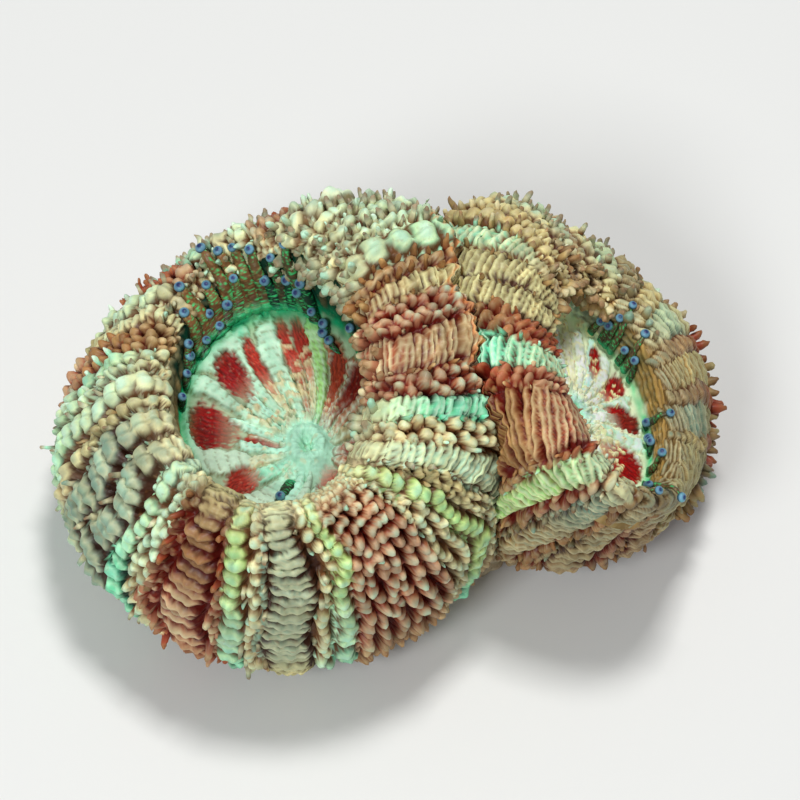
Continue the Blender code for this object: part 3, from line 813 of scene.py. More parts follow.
def makeFingers(name, polyp, ground, master, settings):
    # papillae: the ridges' own, and rows on the rim and the outer side
    chance = np.random.default_rng(settings["seed"])
    place, angle, wide, _, tall, index, _ = ridgeSpots(polyp, settings["seed"], ["finger"])
    for start, end, where, count, size, high in settings["rows"]:
        more = start + (np.arange(count) + chance.uniform(-0.3, 0.3, count)) / count * (end - start)
        place = np.concatenate([place, where + chance.uniform(-0.12, 0.12, count)])
        angle = np.concatenate([angle, more])
        wide = np.concatenate([wide, size * chance.uniform(0.8, 1.2, count)])
        tall = np.concatenate([tall, high * chance.uniform(0.8, 1.2, count)])
        index = np.concatenate([index, np.full(count, -1)])
    tall = np.minimum(np.minimum(tall, settings["tallest"] / wide), settings["slimmest"])
    base = fleshAt(polyp, place, angle)
    keep = pastSeam(base, polyp["side"]) < -0.3
    place, angle, wide, tall, index, base = (part[keep] for part in (place, angle, wide, tall, index, base))
    index = np.where(index < 0, ridgeUnder(polyp, place, angle), index).astype(int)
    count = len(place)
    # each stands on the swollen flesh, sunk in a little
    places, outer = ground
    column = np.mod(np.rint(angle / 360 * len(places)), len(places)).astype(int)
    row = np.array([np.abs(places[c] - p).argmin() for c, p in zip(column, place)])
    normal, down, side, _ = fleshFrame(polyp, place, angle)
    onTop = np.einsum("ij,ij->i", outer[column, row] - base, normal)
    origin = base + normal * (onTop - settings["sunk"] * wide * mm)[:, None]
    # on the near side they hang down the flesh, on the far side they stand up
    farSide = smoothStep(-0.2, 0.6, np.sin(np.radians(angle + polyp["turn"])))
    tiltDown = chance.uniform(*settings["nearTilt"], count) * (1 - farSide)
    tiltDown = tiltDown + chance.uniform(*settings["farTilt"], count) * farSide
    tiltDown = tiltDown - settings["rimTilt"] * smoothStep(6.7, 6.2, place)
    tiltSide = chance.uniform(*settings["sideTilt"], count)
    axis = unit(normal + down * tiltDown[:, None] + side * tiltSide[:, None]
                + np.array([0, 0, settings["upright"]]) * farSide[:, None])
    first = unit(side - axis * np.einsum("ij,ij->i", side, axis)[:, None])
    second = np.cross(axis, first)
    flatten = chance.uniform(*settings["flatness"], count)
    frames = np.stack([first * (wide * mm)[:, None], second * (wide * flatten * mm)[:, None],
                       axis * (wide * tall * mm)[:, None]], axis=1)
    height = meshPoints(master)[:, 2]
    height = (height - height.min()) / (height.max() - height.min())
    creases, flanks, tops = (alongFinish(polyp, part, index, place, angle)[:, None] for part in (2, 3, 4))
    # each finger's tone varies at random and takes the same painted shade by angle as the flesh under it
    light = chance.uniform(*settings["light"], count) * roundValues(polyp["paintedSideShade"], angle)
    tipped = (chance.random(count) < settings["tipped"])[:, None]
    # painted shade at each finger's foot, where it sinks into the flesh, in the crease tone darkened; above
    # that the flank tone and a paler top that is partly painted highlight
    colours = laidOver(creases * 0.7, flanks, smoothStep(0.25, 0.6, height))
    colours = laidOver(colours, tops, smoothStep(0.55, 0.9, height))
    tips = smoothStep(0.62, 0.95, height) * tipped * 0.8
    colours = laidOver(colours, paint[settings["tipTone"]], tips)
    piece = copyMany(name, master, origin, frames, colours * light[:, None, None])
    points = meshPoints(piece)
    lumps = np.stack([waves(points, 0.62 * mm, seed) for seed in (11.0, 12.0, 13.0)], axis=-1)
    placePoints(piece, meetAtSeam(points + lumps * settings["lumpy"] * mm, polyp["side"]))
    smoothAndFace(piece)
    return piece


fingerShape = {
    "sides": 9, "rings": 8,
    # above which height, how far narrowed, how far lifted
    "pulls": [(-0.2, 0.94, 0.08), (0.0, 0.90, 0.17), (0.2, 0.86, 0.18), (0.4, 0.86, 0.07)],
}
fingerSettings = {
    "tipped": 0.7, "tipTone": "brown", "light": (0.78, 1.15), "flatness": (0.75, 1.05), "lumpy": 0.09,
    "tallest": 1.3, "slimmest": 2.6, "sunk": 0.22, "upright": 0.45,
    "nearTilt": (0.0, 0.7), "farTilt": (-0.5, 0.25), "sideTilt": (-0.35, 0.35), "rimTilt": 0.5,
}
# rows that stand on the bowl's rim and beyond it: from angle, to angle, place, how many, width, height
largeFingerSettings = {
    **fingerSettings, "seed": 21,
    "rows": [
        (-52, 60, 6.2, 20, 0.95, 1.0), (-48, 52, 5.95, 18, 0.85, 1.0), (-45, 65, 6.5, 20, 1.0, 1.0),
        (20, 150, 6.6, 34, 0.66, 1.4), (40, 130, 8.6, 46, 0.62, 1.9), (18, 78, 5.8, 15, 1.1, 1.0),
        (20, 74, 5.5, 12, 1.0, 1.0),
    ],
}
smallFingerSettings = {
    **fingerSettings, "seed": 34,
    "rows": [
        (150, 250, 6.1, 26, 0.5, 1.0), (30, 150, 6.5, 22, 0.75, 1.4), (60, 130, 8.4, 30, 0.62, 1.9),
        (48, 150, 6.0, 22, 1.0, 1.1), (60, 150, 5.6, 20, 0.95, 1.1), (-42, 60, 9.0, 26, 0.85, 1.6),
        (-46, 60, 9.7, 28, 0.95, 1.6), (-40, 60, 10.3, 22, 0.85, 1.4),
    ],
}
fingerMaster = makeFingerMaster(fingerShape)
largeFingers = makeFingers("largeFingers", largePolyp, largeGround, fingerMaster, largeFingerSettings)
smallFingers = makeFingers("smallFingers", smallPolyp, smallGround, fingerMaster, smallFingerSettings)
bpy.data.objects.remove(fingerMaster, do_unlink=True)
print("fingers done")


def addPetals(settings, level, colour, away, around, place, ragged, fringe, fade):
    # radial chains of soft pads with dark lines between them: the lines are their own tone darkened as
    # painted shade, and each pad carries a painted highlight along its crest
    lineTone = paint[settings["lineTone"]]
    for start, end, inner, outer, high, tone, spacing in settings["petals"]:
        middle, half = (start + end) / 2, (end - start) / 2
        sway = 0.22 * half * np.sin(place * 2.6 + middle)
        u = turnFrom(middle, around - sway) / half
        v = (place - (inner + outer) / 2) / ((outer - inner) / 2) + 0.12 * ragged + 0.05 * fringe
        step = away / spacing + 0.30 * u * u + 0.15 * fringe + chanceOf(middle, 1.0)
        pad = np.abs(np.sin(math.pi * step)) ** 0.7
        number = np.floor(step)
        width = 0.86 + 0.10 * pad + 0.16 * (chanceOf(number, middle) - 0.5)
        out = np.abs(u / width) ** 2.4 + np.abs(v) ** 5.0
        shape = np.clip(1 - out, 0, 1) ** 0.5 * (0.66 + 0.34 * pad)
        raised = high * shape * (0.35 + 0.65 * fade) * settings["petalRise"] - 0.05
        wins = (out < 1) & (raised > level)
        light = 0.80 + 0.34 * chanceOf(number, middle, 2.0) + 0.10 * fringe
        # painted highlight along the pad's crest; painted shade in the gaps between pads and at the petal's
        # edge
        crest = bell(out, 0.30, 0.20) * 0.55 + 0.25 * (pad > 0.93)
        gap = smoothStep(0.55, 0.15, pad) * 0.6 + smoothStep(0.62, 0.98, out) * 0.85
        gap = np.clip(gap * (0.25 + 0.75 * fade), 0, 1)
        body = laidOver(paint[tone] * light[:, None], paint["whiteMint"], crest)
        level = np.where(wins, raised, level)
        colour = np.where(wins[:, None], laidOver(body, lineTone * 0.55, gap), colour)
    return level, colour


def addPatches(settings, level, colour, around, place, ragged, fringe):
    # red patches of fine threads: darkest at their outer end, fraying towards the mouth
    for start, end, inner, outer, tone in settings["patches"]:
        u = turnFrom((start + end) / 2, around) / ((end - start) / 2)
        v = (place - (inner + outer) / 2) / ((outer - inner) / 2)
        thread = np.sin(around * 2.3 + 2.6 * ragged) * 0.6 + np.sin(around * 5.7 + place * 3) * 0.4
        deep = 1.15 - np.abs(u) ** 2 - np.abs(v) ** 3 + 0.38 * fringe
        deep = deep + 0.30 * thread * smoothStep(0.4, -0.9, v)
        mixed = smoothStep(0.0, 0.55, deep) * (0.55 + 0.45 * smoothStep(-0.9, 0.0, v))
        body = np.clip(paint[tone] * (0.85 + 0.45 * thread - 0.25 * v)[:, None], 0.002, 1)
        colour = laidOver(colour, body, mixed)
        level = level * (1 - 0.75 * mixed) + (0.05 * thread - 0.16) * mixed
    return level, colour


def addBumps(polyp, settings, level, colour, base):
    # small round bumps, pale, most of them with a pink dot
    chance = np.random.default_rng(settings["seed"])
    for start, end, inner, outer, count, size in settings["bumps"]:
        spots = zip(chance.uniform(start, end, count), chance.uniform(inner, outer, count))
        for bumpAngle, bumpPlace in spots:
            middle = fleshAt(polyp, bumpPlace, bumpAngle)
            gap = np.linalg.norm(base - middle, axis=-1) / mm / (size * chance.uniform(0.7, 1.25))
            near = gap < 1
            level[near] += 1.15 * size * np.sqrt(np.clip(1 - gap[near] ** 2, 0, 1))
            ring = smoothStep(1.0, 0.7, gap[near]) * 0.8
            dot = smoothStep(0.55, 0.15, gap[near]) * 0.7 * (chance.random() < 0.6)
            colour[near] = laidOver(colour[near], paint[settings["bumpTone"]], ring)
            colour[near] = laidOver(colour[near], paint[settings["dotTone"]], dot)
    return level, colour


def addMouth(settings, level, colour, base, away, angle, place, ragged, fringe):
    # a soft, uneven dome of fine threads round a slit
    border = roundValues(settings["mouthTo"], angle) + 0.10 * ragged
    mouth = smoothStep(border + 0.25, border - 0.45, place)
    threads = np.abs(np.sin(np.radians(angle) * 13 + 2.4 * ragged)) * smoothStep(0.2, 0.9, place)
    slit = bell((base - base[place <= 0].mean(axis=0)) @ settings["slitAcross"], 0, 0.16 * mm)
    slit = slit * smoothStep(0.8, 0.4, away)
    dome = 0.18 * np.clip(1 - (place / border) ** 2, 0, 1)
    dome = dome + 0.02 * threads + 0.08 * ragged + 0.05 * fringe - 0.12 * slit
    near = smoothStep(border + 1.1, border, place) * 0.5
    colour = laidOver(colour, paint["iceMint"] * (0.9 + 0.2 * fringe)[:, None], near)
    spotted = smoothStep(0.35, 0.75, waves(base, 0.75 * mm, 9.0)) * 0.35
    tone = laidOver((paint["iceMint"] + paint["paleMint"]) * 0.5, paint["cream"], spotted)
    # painted shade along the slit
    light = np.clip(0.92 + 0.05 * threads + 0.12 * fringe - 0.25 * slit, 0.12, 1.2)
    return level * (1 - mouth) + mouth * dome, laidOver(colour, tone * light[:, None], mouth)


def addWall(settings, level, colour, angle, place, ragged, fringe):
    # the bowl's wall, ribbed up and down and folded across, above a green margin; painted shade lays dark
    # green over it where it lies in shade, and darkens its grooves and folds
    ribs = np.abs(np.sin(np.radians(angle) * settings["wallRibs"] + 0.6 * ragged))
    folds = np.abs(np.sin(place * settings["wallFolds"] + 0.8 * np.sin(np.radians(angle) * 9) + 0.9 * ragged))
    level = level + settings["wallRib"] * ribs * smoothStep(4.3, 4.8, place)
    level = level + 0.22 * (folds - 0.5) * smoothStep(4.6, 4.9, place) * (settings["wallFolds"] > 0)
    # painted shade: by angle round the bowl, the wall is laid over with dark green where it lies in shade
    dark = np.clip(roundValues(settings["wallShade"], angle) + 0.3 * ragged, 0, 1)
    pale = np.clip(roundValues(settings["wallPale"], angle) + 0.2 * fringe, 0, 1)
    tone = laidOver(paint[settings["wallTone"]], paint["whiteMint"] * 0.9, pale)
    tone = laidOver(tone, paint["darkGreen"], dark)
    # painted shade in the grooves between ribs and between folds, painted light on their crests
    tone = tone * ((0.66 + 0.46 * ribs) * (0.6 + 0.45 * folds))[:, None]
    wall = smoothStep(4.3 - 0.4 * dark, 4.75 - 0.4 * dark, place + 0.12 * ragged)
    margin = bell(place - 0.10 * ragged, settings["marginPlace"], settings["marginWidth"])
    margin = margin * (0.8 + 0.3 * ragged) * roundValues(settings["marginShare"], angle)
    rim = smoothStep(5.4, 5.8, place) * (1 - dark) * (1 - pale)
    colour = laidOver(laidOver(colour, tone, wall), paint["tealGreen"], np.clip(margin, 0, 1))
    # the rim's tone is painted darker in the hollows of the folds, as shade
    return level, laidOver(colour, paint[settings["rimTone"]] * (0.5 + 0.5 * folds)[:, None], rim)


def discRelief(polyp, settings, place, angle, base):
    away = np.linalg.norm(base - fleshAt(polyp, np.zeros_like(place), angle), axis=-1) / mm
    ragged = waves(base, 1.3 * mm, 6.0)
    fringe = waves(base, 0.5 * mm, 3.0)
    swing = 3.0 * np.sin(place * 1.9 + np.radians(angle) * 3) * smoothStep(1.2, 2.5, place)
    around = angle + swing + 1.2 * ragged
    fade = smoothStep(1.5, 2.5, place) * (1 - smoothStep(4.2, 4.6, place))
    level = -settings["between"] * fade
    # painted shade: the disc's ground, low between the petals, is its base tone darkened, partly laid over
    # with the line tone
    colour = laidOver(paint[settings["base"]] * 0.8, paint[settings["lineTone"]], 0.45 * fade)
    level, colour = addPetals(settings, level, colour, away, around, place, ragged, fringe, fade)
    level, colour = addPatches(settings, level, colour, around, place, ragged, fringe)
    level, colour = addBumps(polyp, settings, level, colour, base)
    level, colour = addMouth(settings, level, colour, base, away, angle, place, ragged, fringe)
    return addWall(settings, level, colour, angle, place, ragged, fringe)


def makeDisc(name, polyp, settings):
    rings, seen = settings["rings"], settings["seenRings"]
    piece = addSphere(name, settings["columns"], rings)
    points = meshPoints(piece)
    angle = np.degrees(np.arctan2(points[:, 1], points[:, 0]))
    ring = np.rint((90 - np.degrees(np.arcsin(np.clip(points[:, 2], -1, 1)))) / 180 * rings)
    shown = np.minimum(ring / seen, 1)
    place = settings["to"] * (0.55 * shown + 0.45 * shown**1.4)
    under = np.clip((ring - seen) / (rings - seen), 0, 1)
    base = fleshAt(polyp, place, angle)
    base[ring == 0] = fleshAt(polyp, 0.0, 0.0) * 0.5 + fleshAt(polyp, 0.0, 180.0) * 0.5
    normal = fleshFrame(polyp, place + 0.05, angle)[0]
    level, colour = discRelief(polyp, settings, place, angle, base)
    level = level + waves(base, 0.5 * mm, 7.0) * 0.03
    outer = base + normal * (level * mm)[:, None]
    # hidden: down behind the wall, then in under the disc
    centre = fleshAt(polyp, 2.0, np.arange(0, 360, 10.0)).mean(axis=0)
    deep = centre + np.array([0, 0, -settings["depth"] * mm])
    hidden = laidOver(outer, belowBowl(polyp, angle), np.clip(under * 2, 0, 1))
    hidden = laidOver(hidden, deep, np.clip(under * 2 - 1, 0, 1))
    whole = np.where((under > 0)[:, None], hidden, outer)
    placePoints(piece, meetAtSeam(whole, polyp["side"]))
    # painted light: the small disc's colours are lifted against the shade of its bowl; the large disc's are
    # lowered a little
    paintPoints(piece, np.clip(colour * settings["bright"], 0, 1))
    smoothAndFace(piece)
    return piece


largeDiscSettings = {
    "columns": 400, "rings": 136, "seenRings": 126, "to": 6.05, "depth": 3.0, "seed": 4,
    "base": "paleMint", "lineTone": "greyTan", "between": 0.16, "dotTone": "pinkBrown", "bumpTone": "cream",
    "wallTone": "tan", "wallRib": 0.14, "wallRibs": 24, "wallFolds": 0.0, "wallPale": [0.0] * 12,
    "rimTone": "cream", "marginPlace": 4.22, "marginWidth": 0.3, "bright": 0.9, "petalRise": 1.0,
    "mouthTo": [1.5, 1.5, 1.4, 1.4, 1.4, 1.5, 1.6, 1.8, 2.0, 1.8, 1.5, 1.5],
    "slitAcross": (0.8, 0.6, 0.0),
    # from angle, to angle, from place, to place, height, tone, length of its pads
    "petals": [
        (78, 99, 1.3, 4.15, 0.55, "paleMint", 0.62), (97, 108, 1.9, 3.3, 0.25, "cream", 0.42),
        (97, 110, 3.4, 4.15, 0.34, "mint", 0.7), (106, 121, 1.5, 4.1, 0.44, "paleMint", 0.6),
        (120, 131, 1.4, 2.9, 0.34, "iceMint", 0.5), (130, 142, 1.4, 2.8, 0.32, "paleMint", 0.45),
        (112, 143, 3.55, 4.15, 0.42, "paleMint", 1.1), (140, 153, 1.5, 4.15, 0.55, "paleMint", 0.75),
        (151, 163, 1.4, 3.0, 0.34, "iceMint", 0.5), (162, 173, 1.4, 2.6, 0.22, "pinkBrown", 0.45),
        (153, 181, 3.75, 4.15, 0.35, "paleMint", 1.0), (172, 186, 1.4, 2.9, 0.36, "iceMint", 0.5),
        (180, 199, 2.6, 4.1, 0.46, "whiteMint", 0.8), (188, 201, 1.4, 2.8, 0.30, "cream", 0.42),
        (202, 219, 1.4, 3.2, 0.40, "mint", 0.5), (214, 238, 2.8, 4.05, 0.42, "whiteMint", 0.7),
        (220, 239, 1.5, 3.1, 0.34, "paleMint", 0.42), (238, 254, 1.7, 4.1, 0.48, "iceMint", 0.7),
        (253, 268, 1.8, 4.1, 0.46, "whiteMint", 0.6), (267, 284, 2.4, 4.1, 0.42, "paleMint", 0.7),
        (283, 302, 2.5, 4.1, 0.46, "mint", 0.7), (300, 314, 2.3, 4.15, 0.60, "brightMint", 0.8),
        (313, 330, 1.9, 4.1, 0.62, "pinkBrown", 0.6), (329, 346, 1.8, 3.9, 0.60, "redBrown", 0.6),
        (345, 363, 1.6, 3.9, 0.60, "greyTan", 0.65), (362, 379, 1.6, 3.9, 0.58, "pinkBrown", 0.6),
        (378, 394, 1.6, 3.9, 0.52, "redBrown", 0.55), (393, 408, 1.6, 3.9, 0.50, "pinkBrown", 0.55),
        (407, 421, 1.6, 4.1, 0.50, "yellowMint", 0.5), (420, 430, 1.6, 3.3, 0.34, "cream", 0.42),
        (429, 439, 1.5, 3.4, 0.36, "pinkBrown", 0.42),
    ],
    # from angle, to angle, from place, to place, tone
    "patches": [
        (113, 137, 2.7, 3.85, "red"), (153, 181, 2.75, 4.0, "red"), (97, 108, 2.5, 3.8, "deepPink"),
        (196, 216, 2.6, 3.5, "deepPink"), (420, 431, 2.7, 4.05, "deepPink"),
        (431, 440, 2.6, 4.05, "deepPink"), (166, 176, 1.6, 2.8, "deepPink"),
        (276, 316, 1.8, 3.7, "deepPink"), (322, 340, 2.4, 3.8, "darkRed"),
        (372, 390, 2.4, 3.9, "darkRed"), (394, 407, 2.1, 3.9, "redBrown"),
    ],
    # from angle, to angle, from place, to place, how many, radius
    "bumps": [(60, 150, 1.6, 2.9, 70, 0.22), (150, 240, 1.6, 2.6, 30, 0.18), (60, 82, 2.4, 3.4, 14, 0.28),
              (0, 60, 1.5, 2.6, 16, 0.16)],
    "marginShare": [0.2, 0.5, 0.9, 1.0, 0.9, 0.9, 0.8, 0.7, 0.7, 1.0, 1.0, 0.5],
    # how far the wall is painted dark green as shade, by angle
    "wallShade": [1.0, 1.0, 1.0, 1.0, 1.0, 0.85, 0.4, 0.0, 0.0, 0.0, 0.6, 1.0],
}
smallDiscSettings = {
    "columns": 320, "rings": 112, "seenRings": 102, "to": 6.05, "depth": 3.0, "seed": 9,
    "base": "whiteMint", "lineTone": "cream", "between": 0.12, "dotTone": "red", "bumpTone": "paleCream",
    "wallTone": "ochre", "wallRib": 0.06, "wallRibs": 20, "wallFolds": 9.0,
    "wallPale": [0.0, 0.0, 0.3, 1.0, 1.0, 1.0, 1.0, 1.0, 0.6, 0.0, 0.0, 0.0],
    # bright lifts this disc's colours: painted light against the shade of its bowl
    "rimTone": "ochre", "marginPlace": 4.2, "marginWidth": 0.22, "bright": 1.35, "petalRise": 0.6,
    "mouthTo": [1.3] * 12,
    "slitAcross": (0.9, 0.2, -0.4),
    "petals": [
        (9, 23, 1.2, 3.9, 0.40, "paleMint", 0.5), (23, 36, 1.2, 3.0, 0.34, "whiteMint", 0.4),
        (36, 48, 1.2, 4.0, 0.38, "whiteMint", 0.5), (48, 60, 1.2, 4.0, 0.34, "iceMint", 0.4),
        (60, 73, 1.2, 4.0, 0.36, "whiteMint", 0.45), (73, 86, 1.2, 4.0, 0.32, "paleCream", 0.4),
        (86, 99, 1.2, 4.0, 0.34, "whiteMint", 0.45), (99, 112, 1.2, 4.0, 0.30, "iceMint", 0.4),
        (112, 126, 1.2, 4.0, 0.34, "whiteMint", 0.45), (126, 141, 1.2, 4.0, 0.30, "paleMint", 0.4),
        (141, 158, 1.2, 4.0, 0.34, "whiteMint", 0.45), (158, 176, 1.2, 4.0, 0.34, "mint", 0.45),
        (176, 194, 1.2, 4.0, 0.34, "paleMint", 0.5), (194, 212, 1.2, 4.0, 0.34, "cream", 0.5),
        (212, 229, 1.2, 4.0, 0.32, "iceMint", 0.4), (229, 245, 1.2, 4.0, 0.30, "cream", 0.4),
        (245, 262, 1.2, 4.05, 0.44, "mint", 0.5), (262, 276, 1.2, 3.9, 0.32, "whiteMint", 0.4),
        (276, 291, 1.2, 3.9, 0.32, "paleCream", 0.4), (291, 305, 1.2, 3.9, 0.30, "whiteMint", 0.4),
        (305, 320, 1.2, 3.9, 0.32, "paleCream", 0.4), (320, 334, 1.2, 3.9, 0.32, "whiteMint", 0.4),
        (334, 350, 1.2, 4.05, 0.50, "paleMint", 0.7), (350, 369, 1.2, 3.9, 0.40, "whiteMint", 0.45),
    ],
    "patches": [
        (229, 245, 2.6, 4.0, "darkRed"), (262, 292, 2.3, 3.95, "red"), (295, 334, 2.2, 3.95, "red"),
        (351, 372, 2.5, 3.95, "darkRed"), (368, 376, 2.5, 3.5, "red"), (382, 397, 2.6, 4.0, "red"),
        (406, 417, 2.8, 3.9, "red"), (196, 226, 2.6, 4.0, "deepPink"),
    ],
    "bumps": [(255, 350, 1.2, 3.2, 120, 0.15), (10, 60, 1.2, 3.6, 80, 0.14), (60, 130, 1.2, 3.9, 150, 0.15),
              (130, 245, 1.5, 3.9, 120, 0.14), (55, 170, 3.9, 5.4, 130, 0.17)],
    "marginShare": [1.0, 0.6, 0.3, 0.1, 0.2, 0.2, 0.2, 0.3, 0.8, 1.0, 1.0, 1.0],
    # how far the wall is painted dark green as shade, by angle
    "wallShade": [0.0, 0.4, 0.4, 0.0, 0.0, 0.0, 0.0, 0.0, 0.1, 0.4, 0.2, 0.0],
}
largeDisc = makeDisc("largeDisc", largePolyp, largeDiscSettings)
smallDisc = makeDisc("smallDisc", smallPolyp, smallDiscSettings)
print("oral discs done")


def makeTentacles(name, polyp, settings):
    # broad, scaly tentacles laid up the bowl's wall, each ending in a pale bead with a violet spot
    chance = random.Random(settings["seed"])
    allPoints, allFaces, allColours = [], [], []
    masters = []
    for sides, rings in ((settings["sides"], settings["steps"]), settings["beadSides"]):
        master = addSphere("tentacleMaster", sides, rings)
        masters.append((meshPoints(master), [list(face.vertices) for face in master.data.polygons]))
        bpy.data.objects.remove(master, do_unlink=True)

    def addPart(points, faces, colours):
        count = sum(len(part) for part in allPoints)
        allPoints.append(meetAtSeam(points, polyp["side"]))
        allColours.append(colours)
        allFaces.extend([corner + count for corner in face] for face in faces)

    (shape, faces), (bead, beadFaces) = masters
    share = 0.5 + np.arcsin(np.clip(shape[:, 2], -1, 1)) / math.pi  # 0 at the root, 1 at the tip
    share = np.clip(share, 0, 1)
    turn = np.arctan2(shape[:, 1], shape[:, 0])
    root, tip = settings["rounded"]
    girth = np.sqrt(np.clip(share / root, 0, 1)) * np.sqrt(np.clip((1 - share) / tip, 0, 1))
    girth = girth * (1 - settings["narrowing"] * smoothStep(0.35, 1.0, share))
    row = np.floor(share * settings["scaleRows"])
    within = share * settings["scaleRows"] - row
    scaleTurn = turn * (settings["scalesRound"] / 2)
    scales = np.sin(math.pi * within) * np.abs(np.sin(scaleTurn + row * math.pi / 2))
    scales = settings["scaleHeight"] * scales - settings["scaleGap"]
    for angle, start, end, wide, mood in settings["each"]:
        angle += chance.uniform(-1.0, 1.0)
        place = start + (end - start) * share
        ring = angle + settings["swing"] * chance.uniform(-1, 1) * share**1.5
        base = fleshAt(polyp, place, ring)
        normal, down, side, _ = fleshFrame(polyp, place, ring)
        lift = settings["rootLift"] + settings["lift"] * chance.uniform(0.8, 1.3) * share**1.6
        lift = lift + settings["crestLift"] * smoothStep(6.2, 6.8, place)
        radius = wide * girth * (1 + scales * smoothStep(0.02, 0.1, share))
        point = base + normal * (lift * mm)[:, None] + side * (radius * mm * np.cos(turn))[:, None]
        point = point + normal * (radius * mm * settings["flatness"] * np.sin(turn))[:, None]
        # dark at the root, with tan and green scales
        fleck = chanceOf(row, np.floor(scaleTurn + 0.5 * row), angle)
        dark = paint["black"] * (1 - mood) + paint["darkBrown"] * mood
        outer = paint["darkGreen"] * (1 - mood) + paint["brown"] * mood
        light = smoothStep(0.80, 0.90, fleck) * smoothStep(0.9, 0.4, within) * mood * 0.6
        green = smoothStep(0.66, 0.70, fleck) * smoothStep(0.80, 0.76, fleck) + smoothStep(0.14, 0.08, fleck)
        colour = laidOver(laidOver(dark, outer, share), paint["tan"], light)
        colour = laidOver(colour, paint["greenMint"], green * smoothStep(0.9, 0.35, within) * 0.85)
        addPart(point, faces, laidOver(colour, paint["tealGreen"], smoothStep(0.30, 0.0, share) * 0.7))
        # the bead looks out of the bowl, towards the light
        top = share.argmax()
        axis = unit(0.8 * normal[top] + 0.35 * down[top] + np.array([0, -0.25, 0.55]))
        first = unit(np.cross(axis, side[top]))
        second = np.cross(axis, first)
        size = settings["bead"] * chance.uniform(0.9, 1.12)
        spot = bead[:, :1] * first + bead[:, 1:2] * second + settings["beadHeight"] * bead[:, 2:] * axis
        middle = point[top] + axis * 0.10 * mm
        height = bead[:, 2]
        tone = laidOver(paint["slate"], paint["paleBlue"], smoothStep(0.0, 0.45, height) * 0.9)
        tone = laidOver(tone, paint["violet"], smoothStep(0.78, 0.88, height))
        addPart(middle + spot * size * mm, beadFaces, tone)
    piece = joinedPiece(name, np.concatenate(allPoints), allFaces, np.concatenate(allColours))
    smoothAndFace(piece)
    return piece


tentacleSettings = {
    "sides": 16, "narrowing": 0.42, "flatness": 0.7,
    "rounded": (0.07, 0.05),  # the shares of its length over which the root and the tip round off
    "scalesRound": 7, "scaleHeight": 0.16, "scaleGap": 0.05, "rootLift": 0.15, "crestLift": 0.55,
    "beadSides": (14, 10), "beadHeight": 0.82,
}
largeTentacleSettings = {
    **tentacleSettings, "seed": 5, "steps": 72, "swing": 3, "lift": 0.35, "scaleRows": 30, "bead": 0.35,
    # angle, from place, to place, half width, how brown
    "each": [
        (103, 4.2, 6.9, 0.55, 0.7), (95, 4.2, 6.7, 0.60, 0.8), (88, 4.2, 6.6, 0.60, 0.7),
        (83, 4.2, 6.4, 0.60, 0.5), (62, 4.2, 6.3, 0.55, 0.3), (98, 4.2, 5.9, 0.62, 0.5),
        (67, 4.2, 5.3, 0.55, 0.0), (57, 4.2, 5.3, 0.50, 0.0), (58, 4.1, 4.9, 0.48, 0.1),
        (123, 4.2, 6.7, 0.60, 0.8), (54, 4.0, 4.4, 0.45, 0.1), (50, 3.9, 4.2, 0.42, 0.1),
        (114, 4.1, 4.5, 0.62, 0.1), (141, 4.2, 5.7, 0.55, 0.4), (128, 4.0, 4.5, 0.55, 0.1),
        (139, 4.1, 5.1, 0.50, 0.2), (149, 4.1, 4.8, 0.50, 0.2), (46, 3.7, 3.9, 0.42, 0.1),
        (40, 3.6, 3.8, 0.45, 0.1), (130, 4.2, 6.3, 0.60, 0.8), (76, 4.2, 5.4, 0.60, 0.0),
        (108, 4.2, 5.2, 0.60, 0.3), (118, 4.2, 5.6, 0.60, 0.6), (72, 4.2, 6.0, 0.55, 0.2),
        (160, 4.1, 4.9, 0.45, 0.1), (112, 4.2, 6.3, 0.60, 0.7), (241, 2.3, 3.0, 0.42, 0.1),
        (20, 4.2, 4.9, 0.45, 0.1),
    ],
}
smallTentacleSettings = {
    **tentacleSettings, "seed": 6, "steps": 64, "swing": 7, "lift": 0.2, "scaleRows": 26, "bead": 0.32,
    "each": [
        (44, 4.1, 6.4, 0.30, 0.4), (54, 4.1, 5.4, 0.30, 0.3), (31, 4.1, 6.2, 0.30, 0.4),
        (62, 4.1, 5.3, 0.28, 0.4), (37, 4.1, 5.2, 0.28, 0.2), (49, 4.1, 5.9, 0.28, 0.3),
        (25, 4.1, 5.4, 0.26, 0.2), (358, 4.1, 6.2, 0.30, 0.3), (354, 4.1, 4.6, 0.32, 0.0),
        (324, 4.1, 5.9, 0.34, 0.5), (343, 4.1, 4.6, 0.32, 0.1), (298, 4.1, 5.7, 0.36, 0.3),
        (288, 4.0, 4.4, 0.36, 0.1), (278, 4.1, 6.6, 0.34, 0.4), (301, 4.1, 6.9, 0.34, 0.4),
        (310, 4.1, 5.2, 0.34, 0.2), (338, 4.1, 4.8, 0.32, 0.1), (268, 4.1, 5.4, 0.34, 0.3),
        (347, 4.1, 4.7, 0.32, 0.0),
    ],
}
largeTentacles = makeTentacles("largeTentacles", largePolyp, largeTentacleSettings)
smallTentacles = makeTentacles("smallTentacles", smallPolyp, smallTentacleSettings)
print("tentacles done")


